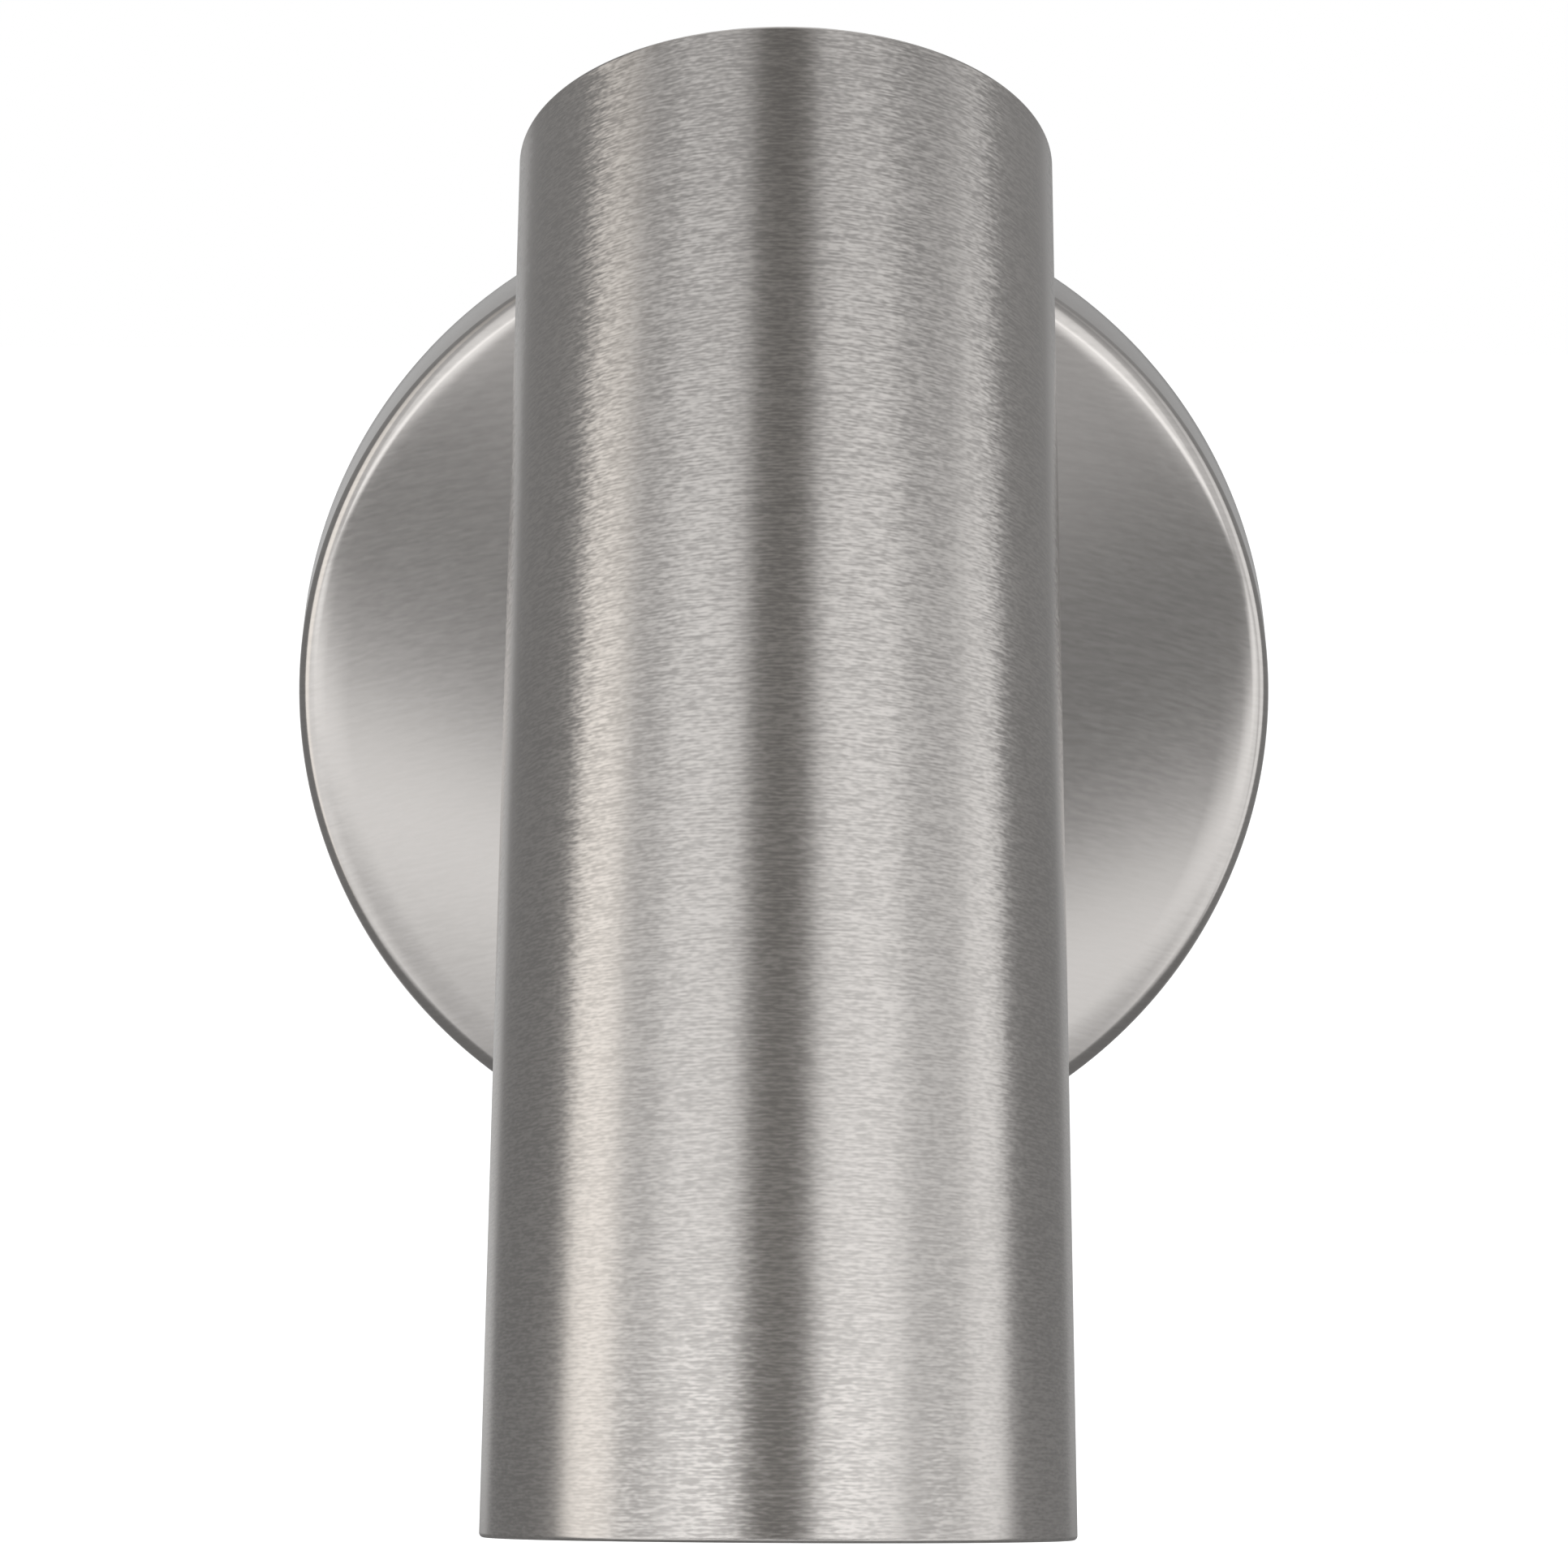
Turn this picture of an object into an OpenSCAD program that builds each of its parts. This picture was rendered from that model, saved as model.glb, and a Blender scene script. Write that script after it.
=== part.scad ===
// Wall spot: a tube head that tilts and swivels on a short stem in front of a round canopy.
// Origin: centre of the canopy on the wall plane. +Z is up, +Y goes into the wall, +X is right
// as seen by someone who faces the wall. The head is drawn at its rest tilt.

/* [Tube shade] */
// Outer diameter of the tube
shade_d = 57; // [55.5:0.5:72]
// Length of the tube
shade_l = 143; // [132:1:200]
// Wall of the tube
shade_wall = 1.2; // [0.8:0.1:1.4]
// Chamfer on the tube's cut edges
shade_chamfer = 0.3; // [0.1:0.05:0.35]

/* [Pose and stem] */
// Lean of the tube from upright, lower end away from the wall, in degrees
tilt = 30; // [0:1:36]
// Plain length of the stem between its flange and the knuckle
stem_l = 8.3; // [6:0.1:40]
// Diameter of the stem
stem_d = 14; // [13:0.5:16]
// Diameter of the stem's flange
flange_d = 26; // [25:0.5:34]
// Thickness of the stem's flange
flange_t = 3; // [2.6:0.1:6]
// Distance of the tilt axis below the tube's upper edge
neck_down = 54.6; // [48:0.2:57]
// Swivel to each side before the stop pin ends it, in degrees
swivel_stop = 165; // [90:5:165]

/* [Canopy] */
// Diameter of the canopy at the wall
canopy_d = 130; // [124:1:160]
// Depth of the canopy from the wall to its face
canopy_h = 15.2; // [14.5:0.1:24]
// Sheet thickness of the canopy
canopy_wall = 1.2; // [0.8:0.1:1.6]
// Lean of the canopy's side wall, in degrees
canopy_draft = 9; // [2:0.5:14]
// Radius of the canopy's front edge
canopy_edge_r = 2; // [1.8:0.1:4]

/* [Mounting bar] */
// Length of the bar
bar_l = 112; // [106:1:116]
// Width of the bar
bar_w = 20; // [18:0.5:22]
// Thickness of the bar
bar_t = 2; // [1.5:0.1:2.2]
// Distance between the centres of the two slots
slot_pitch = 83.3; // [78:0.1:88]
// Length of a slot from end to end
slot_l = 14; // [8:0.5:16]
// Width of a slot
slot_w = 4.8; // [4:0.1:6]
// Diameter of the hole that the supply wires come through
wire_hole_d = 10.5; // [9:0.1:12]
// Distance between the two canopy studs
stud_pitch = 54; // [52:0.5:58]
// Diameter of a canopy stud
stud_d = 4; // [3:0.5:4.5]
// Height of a stud's hexagon nut
stud_nut_t = 2.4; // [1.8:0.1:3.2]
// Diameter of a domed cap nut
cap_nut_d = 9; // [8:0.5:11]
// Height of a cap nut's straight side
cap_nut_h = 4.5; // [3:0.1:6]

/* [Swivel] */
// Diameter of the stem's threaded ends and the knuckle's threaded neck
thread_d = 10; // [9.6:0.1:10.4]
// Diameter of the wire way through the stem and the knuckle
wire_way_d = 6.5; // [6.2:0.1:6.8]
// Wall of the bush
bush_wall = 1.9; // [1.5:0.1:2.2]
// Thickness of the bush's flange
bush_flange_t = 1.4; // [1:0.1:1.6]
// Diameter of the bush's flange, the friction washer and the disc spring
swivel_ring_d = 18; // [17:0.1:18.2]
// Thickness of the friction washer
friction_t = 0.8; // [0.5:0.1:1]
// Height of the disc spring
disc_spring_t = 1; // [0.8:0.1:1.2]
// Thickness of the flat washer behind the disc spring
swivel_washer_t = 1; // [0.8:0.1:1.2]
// Width of the swivel nut across its flats
swivel_nut_af = 14; // [13:0.5:15]
// Height of the swivel nut
swivel_nut_t = 3.6; // [3:0.1:3.8]
// Diameter of the stop pin
stop_pin_d = 2; // [1.6:0.1:2]

/* [Knuckle] */
// Diameter of the knuckle
knuckle_d = 18; // [17:0.5:20]
// Width of the knuckle along its axis
knuckle_w = 19; // [18:0.5:24]
// Thickness of the friction disc between the knuckle's halves
knuckle_disc_t = 0.8; // [0.5:0.1:0.8]
// Wall of the knuckle round its hollow
knuckle_wall = 2.4; // [2:0.1:2.4]
// Thickness of the knuckle's two end walls
knuckle_end_wall = 3.2; // [3:0.1:3.6]
// Length of the stem half's round foot
stem_block_l = 6; // [5.6:0.1:12]
// Length of the head half's round foot
head_block_l = 2.1; // [1:0.1:8]
// Diameter of the knuckle screw
knuckle_screw_d = 4; // [3:0.5:4]
// Thickness of the saddle between the knuckle and the tube
saddle_t = 1.5; // [1.4:0.1:4]

/* [Lampholder] */
// Thickness of the bracket's sheet
bracket_t = 1.5; // [1:0.1:2]
// Width of the bracket
bracket_w = 24; // [23:0.5:26]
// Height from the bracket's plate to the tilt axis
bracket_drop = 10; // [9.2:0.1:12]
// Diameter of the lampholder
socket_d = 25; // [24:0.5:26]
// Height of the lampholder
socket_h = 16; // [15:0.5:18]
// Distance between the lamp's two pins
pin_pitch = 10; // [10:0.1:10.4]
// Height of the neck nut
neck_nut_t = 3; // [2.5:0.1:3.2]

/* [Lamp] */
// Diameter of the lamp's front
lamp_d = 50; // [48:0.5:50]
// Length of the lamp without its pins
lamp_l = 47; // [45:0.5:50]
// Diameter of the lamp's back
lamp_back_d = 24; // [23:0.5:26]
// Diameter of the lamp's lens
lens_d = 43; // [40:0.5:44]
// Thickness of the lamp's lens
lens_t = 1.6; // [1.2:0.1:2]

/* [End cap] */
// Depth of the end cap below the tube's upper edge
cap_recess = 2; // [0.5:0.1:6]
// Height of the end cap
cap_h = 8; // [5:0.5:10]
// Sheet thickness of the end cap
cap_t = 1.2; // [0.8:0.1:2]
// Number of vent slots in the end cap
vent_count = 8; // [4:1:12]

/* [Leads] */
// Outer diameter of an insulated lead
lead_d = 1.7; // [1.4:0.1:1.7]
// Distance of the tube's leads to each side of the wire way's middle
lead_side = 1.5; // [1.4:0.1:1.6]
// Half the distance between the two leads
lead_apart = 1.3; // [1.2:0.1:1.4]

/* [Hidden] */
$fn = 96;

// Clearances
run_gap = 0.05;      // radial gap of a running or threaded fit
face_gap = 0.05;     // gap between flat faces that slide on each other
seat_gap = 0.2;      // gap between the stem's flange and the canopy
hole_gap = 0.3;      // radial gap of a clearance hole
side_gap = 0.4;      // gap beside a round part that turns past another
thread_past_nut = 0.3;
cut = 1;             // how far a cut runs past the face that it opens

// Colours
nickel = "silver";
zinc = "lightsteelblue";
white = "white";

// Wall side, as distances out from the wall
face_in = canopy_h - canopy_wall;
bush_back = face_in - bush_flange_t;
spring_back = bush_back - disc_spring_t;
washer_back = spring_back - swivel_washer_t;
nut_back = washer_back - swivel_nut_t;
tail_end = nut_back - thread_past_nut;
flange_back = canopy_h + seat_gap;
flange_front = flange_back + flange_t;
stem_end = flange_front + stem_l;
knuckle_r = knuckle_d / 2;
clear_r = knuckle_r + side_gap;
pivot_out = stem_end + stem_block_l + clear_r;
cap_nut_out = canopy_h + cap_nut_h;

// Radii
canopy_r = canopy_d / 2;
thread_r = thread_d / 2;
wire_way_r = wire_way_d / 2;
lead_r = lead_d / 2;
bush_r = thread_r + run_gap + bush_wall;
ring_r = swivel_ring_d / 2;
stop_r = ring_r + stop_pin_d / 2 + side_gap;
stop_groove_depth = 1.9;
stop_pin_reach = 1.6;
thread_depth = 5;
thread_spare = 0.5;  // free depth below a threaded tip
cap_nut_step = 0.5;  // shoulder between a cap nut's side and its dome
terminal_t = lead_d + 0.2;

// Knuckle
half_gap = knuckle_disc_t / 2;
half_w = knuckle_w / 2;
hollow_r = knuckle_r - knuckle_wall;
screw_r = knuckle_screw_d / 2;
screw_head_r = screw_r + 1.5;
screw_past_nut = 0.4;
screw_head_t = 2.4;
spring_washer_t = 1;
head_sink = 1.2;
knuckle_nut_af = 7;
knuckle_nut_t = 3.2;
nut_sink = 1.6;

// Head, in the tube's own frame: z along the tube from its lower edge, +y towards the wall
shade_r = shade_d / 2;
shade_in_r = shade_r - shade_wall;
neck_up = shade_l - neck_down;
saddle_back = shade_r + saddle_t;
head_offset = saddle_back + head_block_l + clear_r;
plate_z = neck_up - bracket_drop;
flange_y = sqrt(pow(shade_in_r - hole_gap, 2) - pow(bracket_w / 2, 2));
neck_nut_af = thread_d + 4;
neck_past_nut = 1.2;
bracket_edge = 0.9;
flange_rise = bracket_drop + neck_nut_af / 2 / cos(30) + bracket_edge;
neck_washer_t = 0.8;
neck_nut_y = flange_y - bracket_t - neck_washer_t - neck_nut_t;
neck_end = neck_nut_y - neck_past_nut;
socket_z = plate_z - socket_h;
socket_screw_x = 8.6;
socket_screw_r = 1.5;
socket_screw_l = 5.5;
lamp_gap = 0.2;
lamp_z = socket_z - lamp_gap - lamp_l;
pin_neck_r = 1.3;
pin_head_r = 2.4;
pin_neck_l = 3.4;
pin_l = 6.8;
lock_run = 3;
lock_lip = 3;
lock_depth = 8;
lamp_base_h = 14;
lamp_base_draft = 3;
lamp_rim_h = 8;
lamp_rim_chamfer = 0.5;
lens_bevel = 1;
lens_seat_w = 2;
bowl_side = 6;
lens_recess = 1;
lens_rim = 2;
lamp_r = max(lamp_d / 2, lens_d / 2 + lens_rim);
lamp_bowl_h = 5;

// Leads
lead_hole_r = 3.6;
lead_hole_depth = 5;
head_bend = 3;
knuckle_bend = 1.2;
lead_cross = knuckle_screw_d / 2 + lead_r + 1;
base_bend = 2;
base_lead_gap = 0.3;
base_lead_out = tail_end - base_lead_gap - base_bend;
connector_out = base_lead_out;
connector_from = 14;
connector_l = 20;
connector_r = 4.2;
connector_tip_r = 2.8;
connector_bore_r = 3.3;
connector_grip_r = lead_r + 0.25;
connector_bore_l = 12;
lead_into_connector = connector_bore_l - 0.5;
ground_into_connector = 4;
ground_up = 14;
ground_lead_out = bar_t + terminal_t / 2;

// Frames: local z points out of the wall, local y points up
module on_wall() {
    rotate([90, 0, 0]) children();
}
// Frame with its origin on the tilt axis
module at_pivot() {
    translate([0, -pivot_out, 0]) children();
}
// The tube's own frame
module in_head() {
    at_pivot() rotate([-tilt, 0, 0]) translate([0, -head_offset, -neck_up]) children();
}
module along_x() {
    rotate([0, 90, 0]) children();
}
// Cylinder along y from y0 to y1
module y_rod(r, y0, y1) {
    translate([0, y1, 0]) rotate([90, 0, 0]) cylinder(r = r, h = y1 - y0);
}
module ring(r_out, r_in, h) {
    difference() {
        cylinder(r = r_out, h = h);
        translate([0, 0, -cut]) cylinder(r = r_in, h = h + 2 * cut);
    }
}
module hex_nut(af, hole_r, h) {
    difference() {
        cylinder(r = af / 2 / cos(30), h = h, $fn = 6);
        translate([0, 0, -cut]) cylinder(r = hole_r, h = h + 2 * cut);
    }
}
// Quarter bend of a lead: starts at the origin along +z and ends along +x
module bend(r) {
    translate([r, 0, 0]) rotate([90, 0, 0]) rotate([0, 0, 90]) rotate_extrude(angle = 90)
        translate([r, 0]) circle(r = lead_r, $fn = 32);
}
module straight(l) {
    cylinder(r = lead_r, h = l, $fn = 32);
}

// Canopy's section with its side and face moved in by w
module canopy_shape(w) {
    run = (canopy_h - canopy_edge_r + canopy_edge_r * sin(canopy_draft)) / cos(canopy_draft);
    corner = [
        canopy_r - run * sin(canopy_draft) - canopy_edge_r * cos(canopy_draft),
        canopy_h - canopy_edge_r
    ];
    er = canopy_edge_r - w;
    foot = canopy_r - w / cos(canopy_draft);
    low = w > 0 ? -cut : 0;
    polygon([
        [0, low],
        [foot - low * tan(canopy_draft), low],
        corner + er * [cos(canopy_draft), sin(canopy_draft)],
        corner,
        corner + [0, er],
        [0, canopy_h - w]
    ]);
    translate(corner) circle(r = er);
}
module canopy() {
    color(nickel) on_wall() difference() {
        rotate_extrude() difference() {
            canopy_shape(0);
            canopy_shape(canopy_wall);
            translate([-cut, -cut]) square([bush_r + run_gap + cut, canopy_h + 2 * cut]);
        }
        for (side = [-1, 1])
            translate([0, side * stud_pitch / 2, 0])
                cylinder(r = stud_d / 2 + hole_gap, h = canopy_h + cut);
        translate([0, stop_r, 0]) cylinder(r = stop_pin_d / 2 + run_gap, h = canopy_h + cut);
    }
}

// Steel strip on the outlet box
module bar_outline() {
    square([bar_w, bar_l - bar_w], center = true);
    for (side = [-1, 1])
        translate([0, side * (bar_l - bar_w) / 2]) circle(d = bar_w);
}
module slot_outline() {
    square([slot_w, slot_l - slot_w], center = true);
    for (side = [-1, 1])
        translate([0, side * (slot_l - slot_w) / 2]) circle(d = slot_w);
}
module mounting_bar() {
    color(zinc) on_wall() difference() {
        linear_extrude(bar_t) bar_outline();
        translate([0, 0, -cut]) {
            cylinder(d = wire_hole_d, h = bar_t + 2 * cut);
            for (side = [-1, 1]) {
                translate([0, side * slot_pitch / 2, 0])
                    linear_extrude(bar_t + 2 * cut) slot_outline();
                translate([0, side * stud_pitch / 2, 0])
                    cylinder(r = stud_d / 2 + run_gap, h = bar_t + 2 * cut);
            }
            translate([0, ground_up, 0])
                cylinder(r = stud_d / 2 + run_gap, h = bar_t + 2 * cut);
        }
    }
}
module ground_screw() {
    head_out = bar_t + terminal_t + face_gap;
    head_t = 2;
    drive_w = 1;
    color("green") on_wall() translate([0, ground_up, 0]) difference() {
        union() {
            cylinder(r = stud_d / 2, h = head_out + head_t / 2);
            translate([0, 0, head_out]) cylinder(r = stud_d / 2 + 1.6, h = head_t);
        }
        translate([-stud_d, -drive_w / 2, head_out + head_t / 2])
            cube([2 * stud_d, drive_w, head_t]);
    }
}
module canopy_studs() {
    color(zinc) on_wall() for (side = [-1, 1])
        translate([0, side * stud_pitch / 2, 0]) cylinder(d = stud_d, h = cap_nut_out - thread_spare);
}
module stud_nuts() {
    color(zinc) on_wall() for (side = [-1, 1])
        translate([0, side * stud_pitch / 2, bar_t])
            hex_nut(stud_d + 3, stud_d / 2 + run_gap, stud_nut_t);
}
module cap_nuts() {
    dome_r = cap_nut_d / 2 - cap_nut_step;
    color(nickel) on_wall() for (side = [-1, 1])
        translate([0, side * stud_pitch / 2, canopy_h]) difference() {
            rotate_extrude() {
                square([cap_nut_d / 2, cap_nut_h - cap_nut_step]);
                translate([0, cap_nut_h - cap_nut_step]) square([dome_r, cap_nut_step]);
                intersection() {
                    translate([0, cap_nut_h]) circle(r = dome_r);
                    translate([0, cap_nut_h]) square([dome_r, dome_r]);
                }
            }
            translate([0, 0, -cut]) cylinder(r = stud_d / 2 + run_gap, h = cap_nut_h + cut);
        }
}

// Swivel: bush, washers and nut behind the canopy's face, washer and stop pin in front
module swivel_bush() {
    color("ivory") on_wall() {
        translate([0, 0, bush_back]) ring(ring_r, thread_r + run_gap, bush_flange_t);
        translate([0, 0, face_in])
            ring(bush_r, thread_r + run_gap, canopy_wall + seat_gap / 2);
    }
}
module friction_washer() {
    color("ivory") on_wall() translate([0, 0, canopy_h])
        ring(ring_r, bush_r + run_gap, friction_t);
}
module stop_pin() {
    pin_foot = 0.6;
    color(zinc) on_wall() translate([0, stop_r, 0]) {
        translate([0, 0, face_in - pin_foot])
            cylinder(d = stop_pin_d, h = pin_foot + canopy_wall + seat_gap + stop_pin_reach);
        translate([0, 0, face_in - pin_foot]) cylinder(d = stop_pin_d + 0.6, h = pin_foot);
    }
}
module disc_spring() {
    blade = disc_spring_t / 2;
    color(zinc) on_wall() translate([0, 0, spring_back]) rotate_extrude() polygon([
        [thread_r + hole_gap, 0],
        [ring_r - hole_gap, disc_spring_t - blade],
        [ring_r - hole_gap, disc_spring_t],
        [thread_r + hole_gap, blade]
    ]);
}
module swivel_washer() {
    color(zinc) on_wall() translate([0, 0, washer_back])
        ring(ring_r - 1, thread_r + run_gap, swivel_washer_t);
}
module swivel_nut() {
    color(zinc) on_wall() translate([0, 0, nut_back])
        hex_nut(swivel_nut_af, thread_r + run_gap, swivel_nut_t);
}

// Turned stem: threaded tail, flange with a stop groove, plain length, threaded tip
module arm_stem() {
    fillet = 2;
    chamfer = 0.5;
    half_stop = swivel_stop + asin(stop_pin_d / 2 / stop_r) + 1;
    groove_w = stop_pin_d / 2 + hole_gap;
    color(nickel) on_wall() difference() {
        rotate_extrude() difference() {
            union() {
                translate([0, tail_end])
                    square([thread_r, stem_end + thread_depth - thread_spare - tail_end]);
                polygon([
                    [0, flange_back],
                    [flange_d / 2, flange_back],
                    [flange_d / 2, flange_front - chamfer],
                    [flange_d / 2 - chamfer, flange_front],
                    [stem_d / 2 + fillet, flange_front],
                    [stem_d / 2 + fillet, flange_front + fillet],
                    [stem_d / 2, flange_front + fillet],
                    [stem_d / 2, stem_end],
                    [0, stem_end]
                ]);
            }
            translate([0, tail_end - cut])
                square([wire_way_r, stem_end + thread_depth + 2 * cut - tail_end]);
            translate([stem_d / 2 + fillet, flange_front + fillet]) circle(r = fillet);
            translate([thread_r, flange_back - cut])
                square([
                    ring_r + hole_gap - thread_r,
                    cut + friction_t - seat_gap + face_gap
                ]);
        }
        rotate([0, 0, 90 - half_stop]) rotate_extrude(angle = 2 * half_stop)
            translate([stop_r - groove_w, flange_back - cut])
                square([2 * groove_w, cut + stop_groove_depth]);
    }
}

// One knuckle half about the tilt axis, on the side +x: hollow drum with an end wall
module knuckle_drum() {
    along_x() translate([0, 0, half_gap]) cylinder(r = knuckle_r, h = half_w - half_gap);
}
module knuckle_hollow() {
    along_x() translate([0, 0, half_gap - cut])
        cylinder(r = hollow_r, h = half_w - knuckle_end_wall - half_gap + cut);
}
// Room for the other half's drum, on the side -x
module other_drum_room() {
    along_x() translate([0, 0, -half_w - cut]) cylinder(r = clear_r, h = half_w + cut + half_gap);
}
// Room inside a half for the leads, between the foot and the hollow
module knuckle_wire_way(foot_l) {
    intersection() {
        y_rod(wire_way_r, 0, clear_r + foot_l + cut);
        translate([half_gap, 0, -wire_way_r]) cube([wire_way_d, clear_r + foot_l + cut, wire_way_d]);
    }
    y_rod(wire_way_r, clear_r - 0.8, clear_r + foot_l + cut);
}
module stem_knuckle() {
    color(nickel) at_pivot() mirror([1, 0, 0]) difference() {
        union() {
            knuckle_drum();
            difference() {
                y_rod(stem_d / 2, 0, clear_r + stem_block_l);
                other_drum_room();
            }
        }
        knuckle_hollow();
        knuckle_wire_way(stem_block_l);
        y_rod(
            thread_r + run_gap,
            clear_r + stem_block_l - thread_depth,
            clear_r + stem_block_l + cut
        );
        along_x() cylinder(r = screw_r + run_gap, h = half_w + cut);
        along_x() translate([0, 0, half_w - nut_sink])
            cylinder(r = (knuckle_nut_af / 2 + run_gap) / cos(30), h = nut_sink + cut, $fn = 6);
    }
}
module knuckle_disc() {
    color("dimgray") at_pivot() along_x() translate([0, 0, -half_gap])
        ring(knuckle_r - hole_gap, hollow_r + run_gap, knuckle_disc_t - face_gap);
}
module knuckle_screw() {
    socket_r = 1.45;
    socket_depth = 1.4;
    seat = half_w - head_sink + spring_washer_t;
    tip = half_w + knuckle_nut_t - nut_sink - screw_past_nut;
    color(zinc) at_pivot() along_x() difference() {
        union() {
            translate([0, 0, -tip]) cylinder(r = screw_r, h = tip + seat + screw_head_t / 2);
            translate([0, 0, seat]) cylinder(r = screw_head_r, h = screw_head_t);
        }
        translate([0, 0, seat + screw_head_t - socket_depth])
            cylinder(r = socket_r, h = socket_depth + cut, $fn = 6);
    }
}
module spring_washer() {
    split = 0.6;
    color(zinc) at_pivot() along_x() translate([0, 0, half_w - head_sink]) difference() {
        ring(screw_head_r, screw_r + 0.2, spring_washer_t);
        translate([0, -split / 2, -cut]) cube([2 * screw_head_r, split, spring_washer_t + 2 * cut]);
    }
}
module knuckle_nut() {
    color(zinc) at_pivot() along_x() translate([0, 0, nut_sink - half_w - knuckle_nut_t])
        hex_nut(knuckle_nut_af, screw_r + run_gap, knuckle_nut_t);
}

// Head half of the knuckle, with the threaded neck that goes through the tube's back
module head_knuckle() {
    color(nickel) in_head() translate([0, head_offset, neck_up]) mirror([0, 1, 0]) difference() {
        union() {
            knuckle_drum();
            difference() {
                y_rod(stem_d / 2, 0, clear_r + head_block_l);
                other_drum_room();
            }
            y_rod(thread_r, clear_r + head_block_l / 2, head_offset - neck_end);
        }
        knuckle_hollow();
        knuckle_wire_way(head_offset - neck_end - clear_r);
        along_x() cylinder(r = screw_r + run_gap, h = half_w + cut);
        along_x() translate([0, 0, half_w - head_sink])
            cylinder(r = screw_head_r + hole_gap, h = head_sink + cut);
    }
}
module saddle_washer() {
    color(nickel) in_head() difference() {
        translate([0, 0, neck_up]) y_rod(stem_d / 2 + 1.5, 0, saddle_back);
        cylinder(r = shade_r + run_gap, h = shade_l);
        translate([0, 0, neck_up]) y_rod(thread_r + hole_gap, 0, saddle_back + cut);
    }
}
module shade_tube() {
    c = shade_chamfer;
    color(nickel) in_head() difference() {
        rotate_extrude() polygon([
            [shade_in_r, c],
            [shade_in_r + c, 0],
            [shade_r - c, 0],
            [shade_r, c],
            [shade_r, shade_l - c],
            [shade_r - c, shade_l],
            [shade_in_r + c, shade_l],
            [shade_in_r, shade_l - c]
        ]);
        translate([0, 0, neck_up]) y_rod(thread_r + hole_gap, 0, shade_r + cut);
    }
}
module neck_washer() {
    color(zinc) in_head() translate([0, flange_y - bracket_t, neck_up]) rotate([90, 0, 0])
        ring(thread_r + 2.5, thread_r + run_gap, neck_washer_t);
}
module neck_nut() {
    color(zinc) in_head() translate([0, neck_nut_y + neck_nut_t, neck_up]) rotate([90, 0, 0])
        hex_nut(neck_nut_af, thread_r + run_gap, neck_nut_t);
}

// Bracket: a plate over the lampholder and an upright flange on the neck
module socket_bracket() {
    front = socket_d / 2 + 1;
    color(zinc) in_head() difference() {
        union() {
            translate([-bracket_w / 2, -front, plate_z])
                cube([bracket_w, front + flange_y, bracket_t]);
            translate([-bracket_w / 2, flange_y - bracket_t, plate_z])
                cube([bracket_w, bracket_t, flange_rise]);
        }
        translate([0, 0, neck_up]) y_rod(thread_r + hole_gap, 0, shade_r);
        translate([lead_side, 0, plate_z - cut]) cylinder(r = lead_hole_r, h = bracket_t + 2 * cut);
        for (side = [-1, 1])
            translate([side * socket_screw_x, 0, plate_z - cut])
                cylinder(r = socket_screw_r + run_gap, h = bracket_t + 2 * cut);
    }
}
// Slot for a lamp pin, from its locked place to its way in
module pin_slot(half_width, h) {
    linear_extrude(h) {
        translate([-half_width, 0]) square([2 * half_width, lock_run]);
        circle(r = half_width);
        translate([0, lock_run]) circle(r = half_width);
    }
}
module lamp_socket() {
    color(white) in_head() translate([0, 0, socket_z]) difference() {
        cylinder(d = socket_d, h = socket_h);
        translate([lead_side, 0, socket_h - lead_hole_depth])
            cylinder(r = lead_hole_r, h = lead_hole_depth + cut);
        for (side = [-1, 1])
            translate([side * socket_screw_x, 0, socket_h - socket_screw_l])
                cylinder(r = socket_screw_r + run_gap, h = socket_screw_l + cut);
        for (a = [0, 180]) rotate([0, 0, a]) translate([pin_pitch / 2, 0, 0]) {
            translate([0, 0, -cut]) pin_slot(pin_neck_r + hole_gap, lock_lip + 2 * cut);
            translate([0, 0, lock_lip]) pin_slot(pin_head_r + hole_gap, lock_depth - lock_lip);
            translate([0, lock_run, -cut])
                cylinder(r = pin_head_r + 2 * hole_gap, h = lock_lip + 1.5 * cut);
        }
    }
}
module socket_screws() {
    color(zinc) in_head() for (side = [-1, 1])
        translate([side * socket_screw_x, 0, plate_z]) {
            translate([0, 0, -socket_screw_l]) cylinder(r = socket_screw_r, h = socket_screw_l + 2);
            translate([0, 0, bracket_t]) cylinder(r = socket_screw_r + 1.2, h = 1.8);
        }
}

// Twist-lock reflector lamp
module lamp_base() {
    color(white) in_head() translate([0, 0, lamp_z + lamp_l - lamp_base_h])
        cylinder(
            d1 = lamp_back_d + 2 * lamp_base_draft,
            d2 = lamp_back_d,
            h = lamp_base_h
        );
}
module lamp_pins() {
    color("gold") in_head() translate([0, 0, lamp_z + lamp_l]) for (side = [-1, 1])
        translate([side * pin_pitch / 2, 0, 0]) {
            cylinder(r = pin_neck_r, h = pin_l);
            translate([0, 0, pin_neck_l]) cylinder(r = pin_head_r, h = pin_l - pin_neck_l);
        }
}
module lamp_housing() {
    neck_r = lamp_back_d / 2 + lamp_base_draft;
    bowl_r = lens_d / 2 - lens_seat_w;
    color(white) in_head() translate([0, 0, lamp_z]) rotate_extrude() polygon([
        [0, lens_recess + lens_t + lamp_bowl_h],
        [bowl_r - bowl_side, lens_recess + lens_t + lamp_bowl_h],
        [bowl_r, lens_recess + lens_t],
        [lens_d / 2, lens_recess + lens_t],
        [lens_d / 2, lens_recess],
        [lens_d / 2 + lens_bevel, 0],
        [lamp_r - lamp_rim_chamfer, 0],
        [lamp_r, lamp_rim_chamfer],
        [lamp_r, lamp_rim_h],
        [neck_r, lamp_l - lamp_base_h],
        [0, lamp_l - lamp_base_h]
    ]);
}
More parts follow.
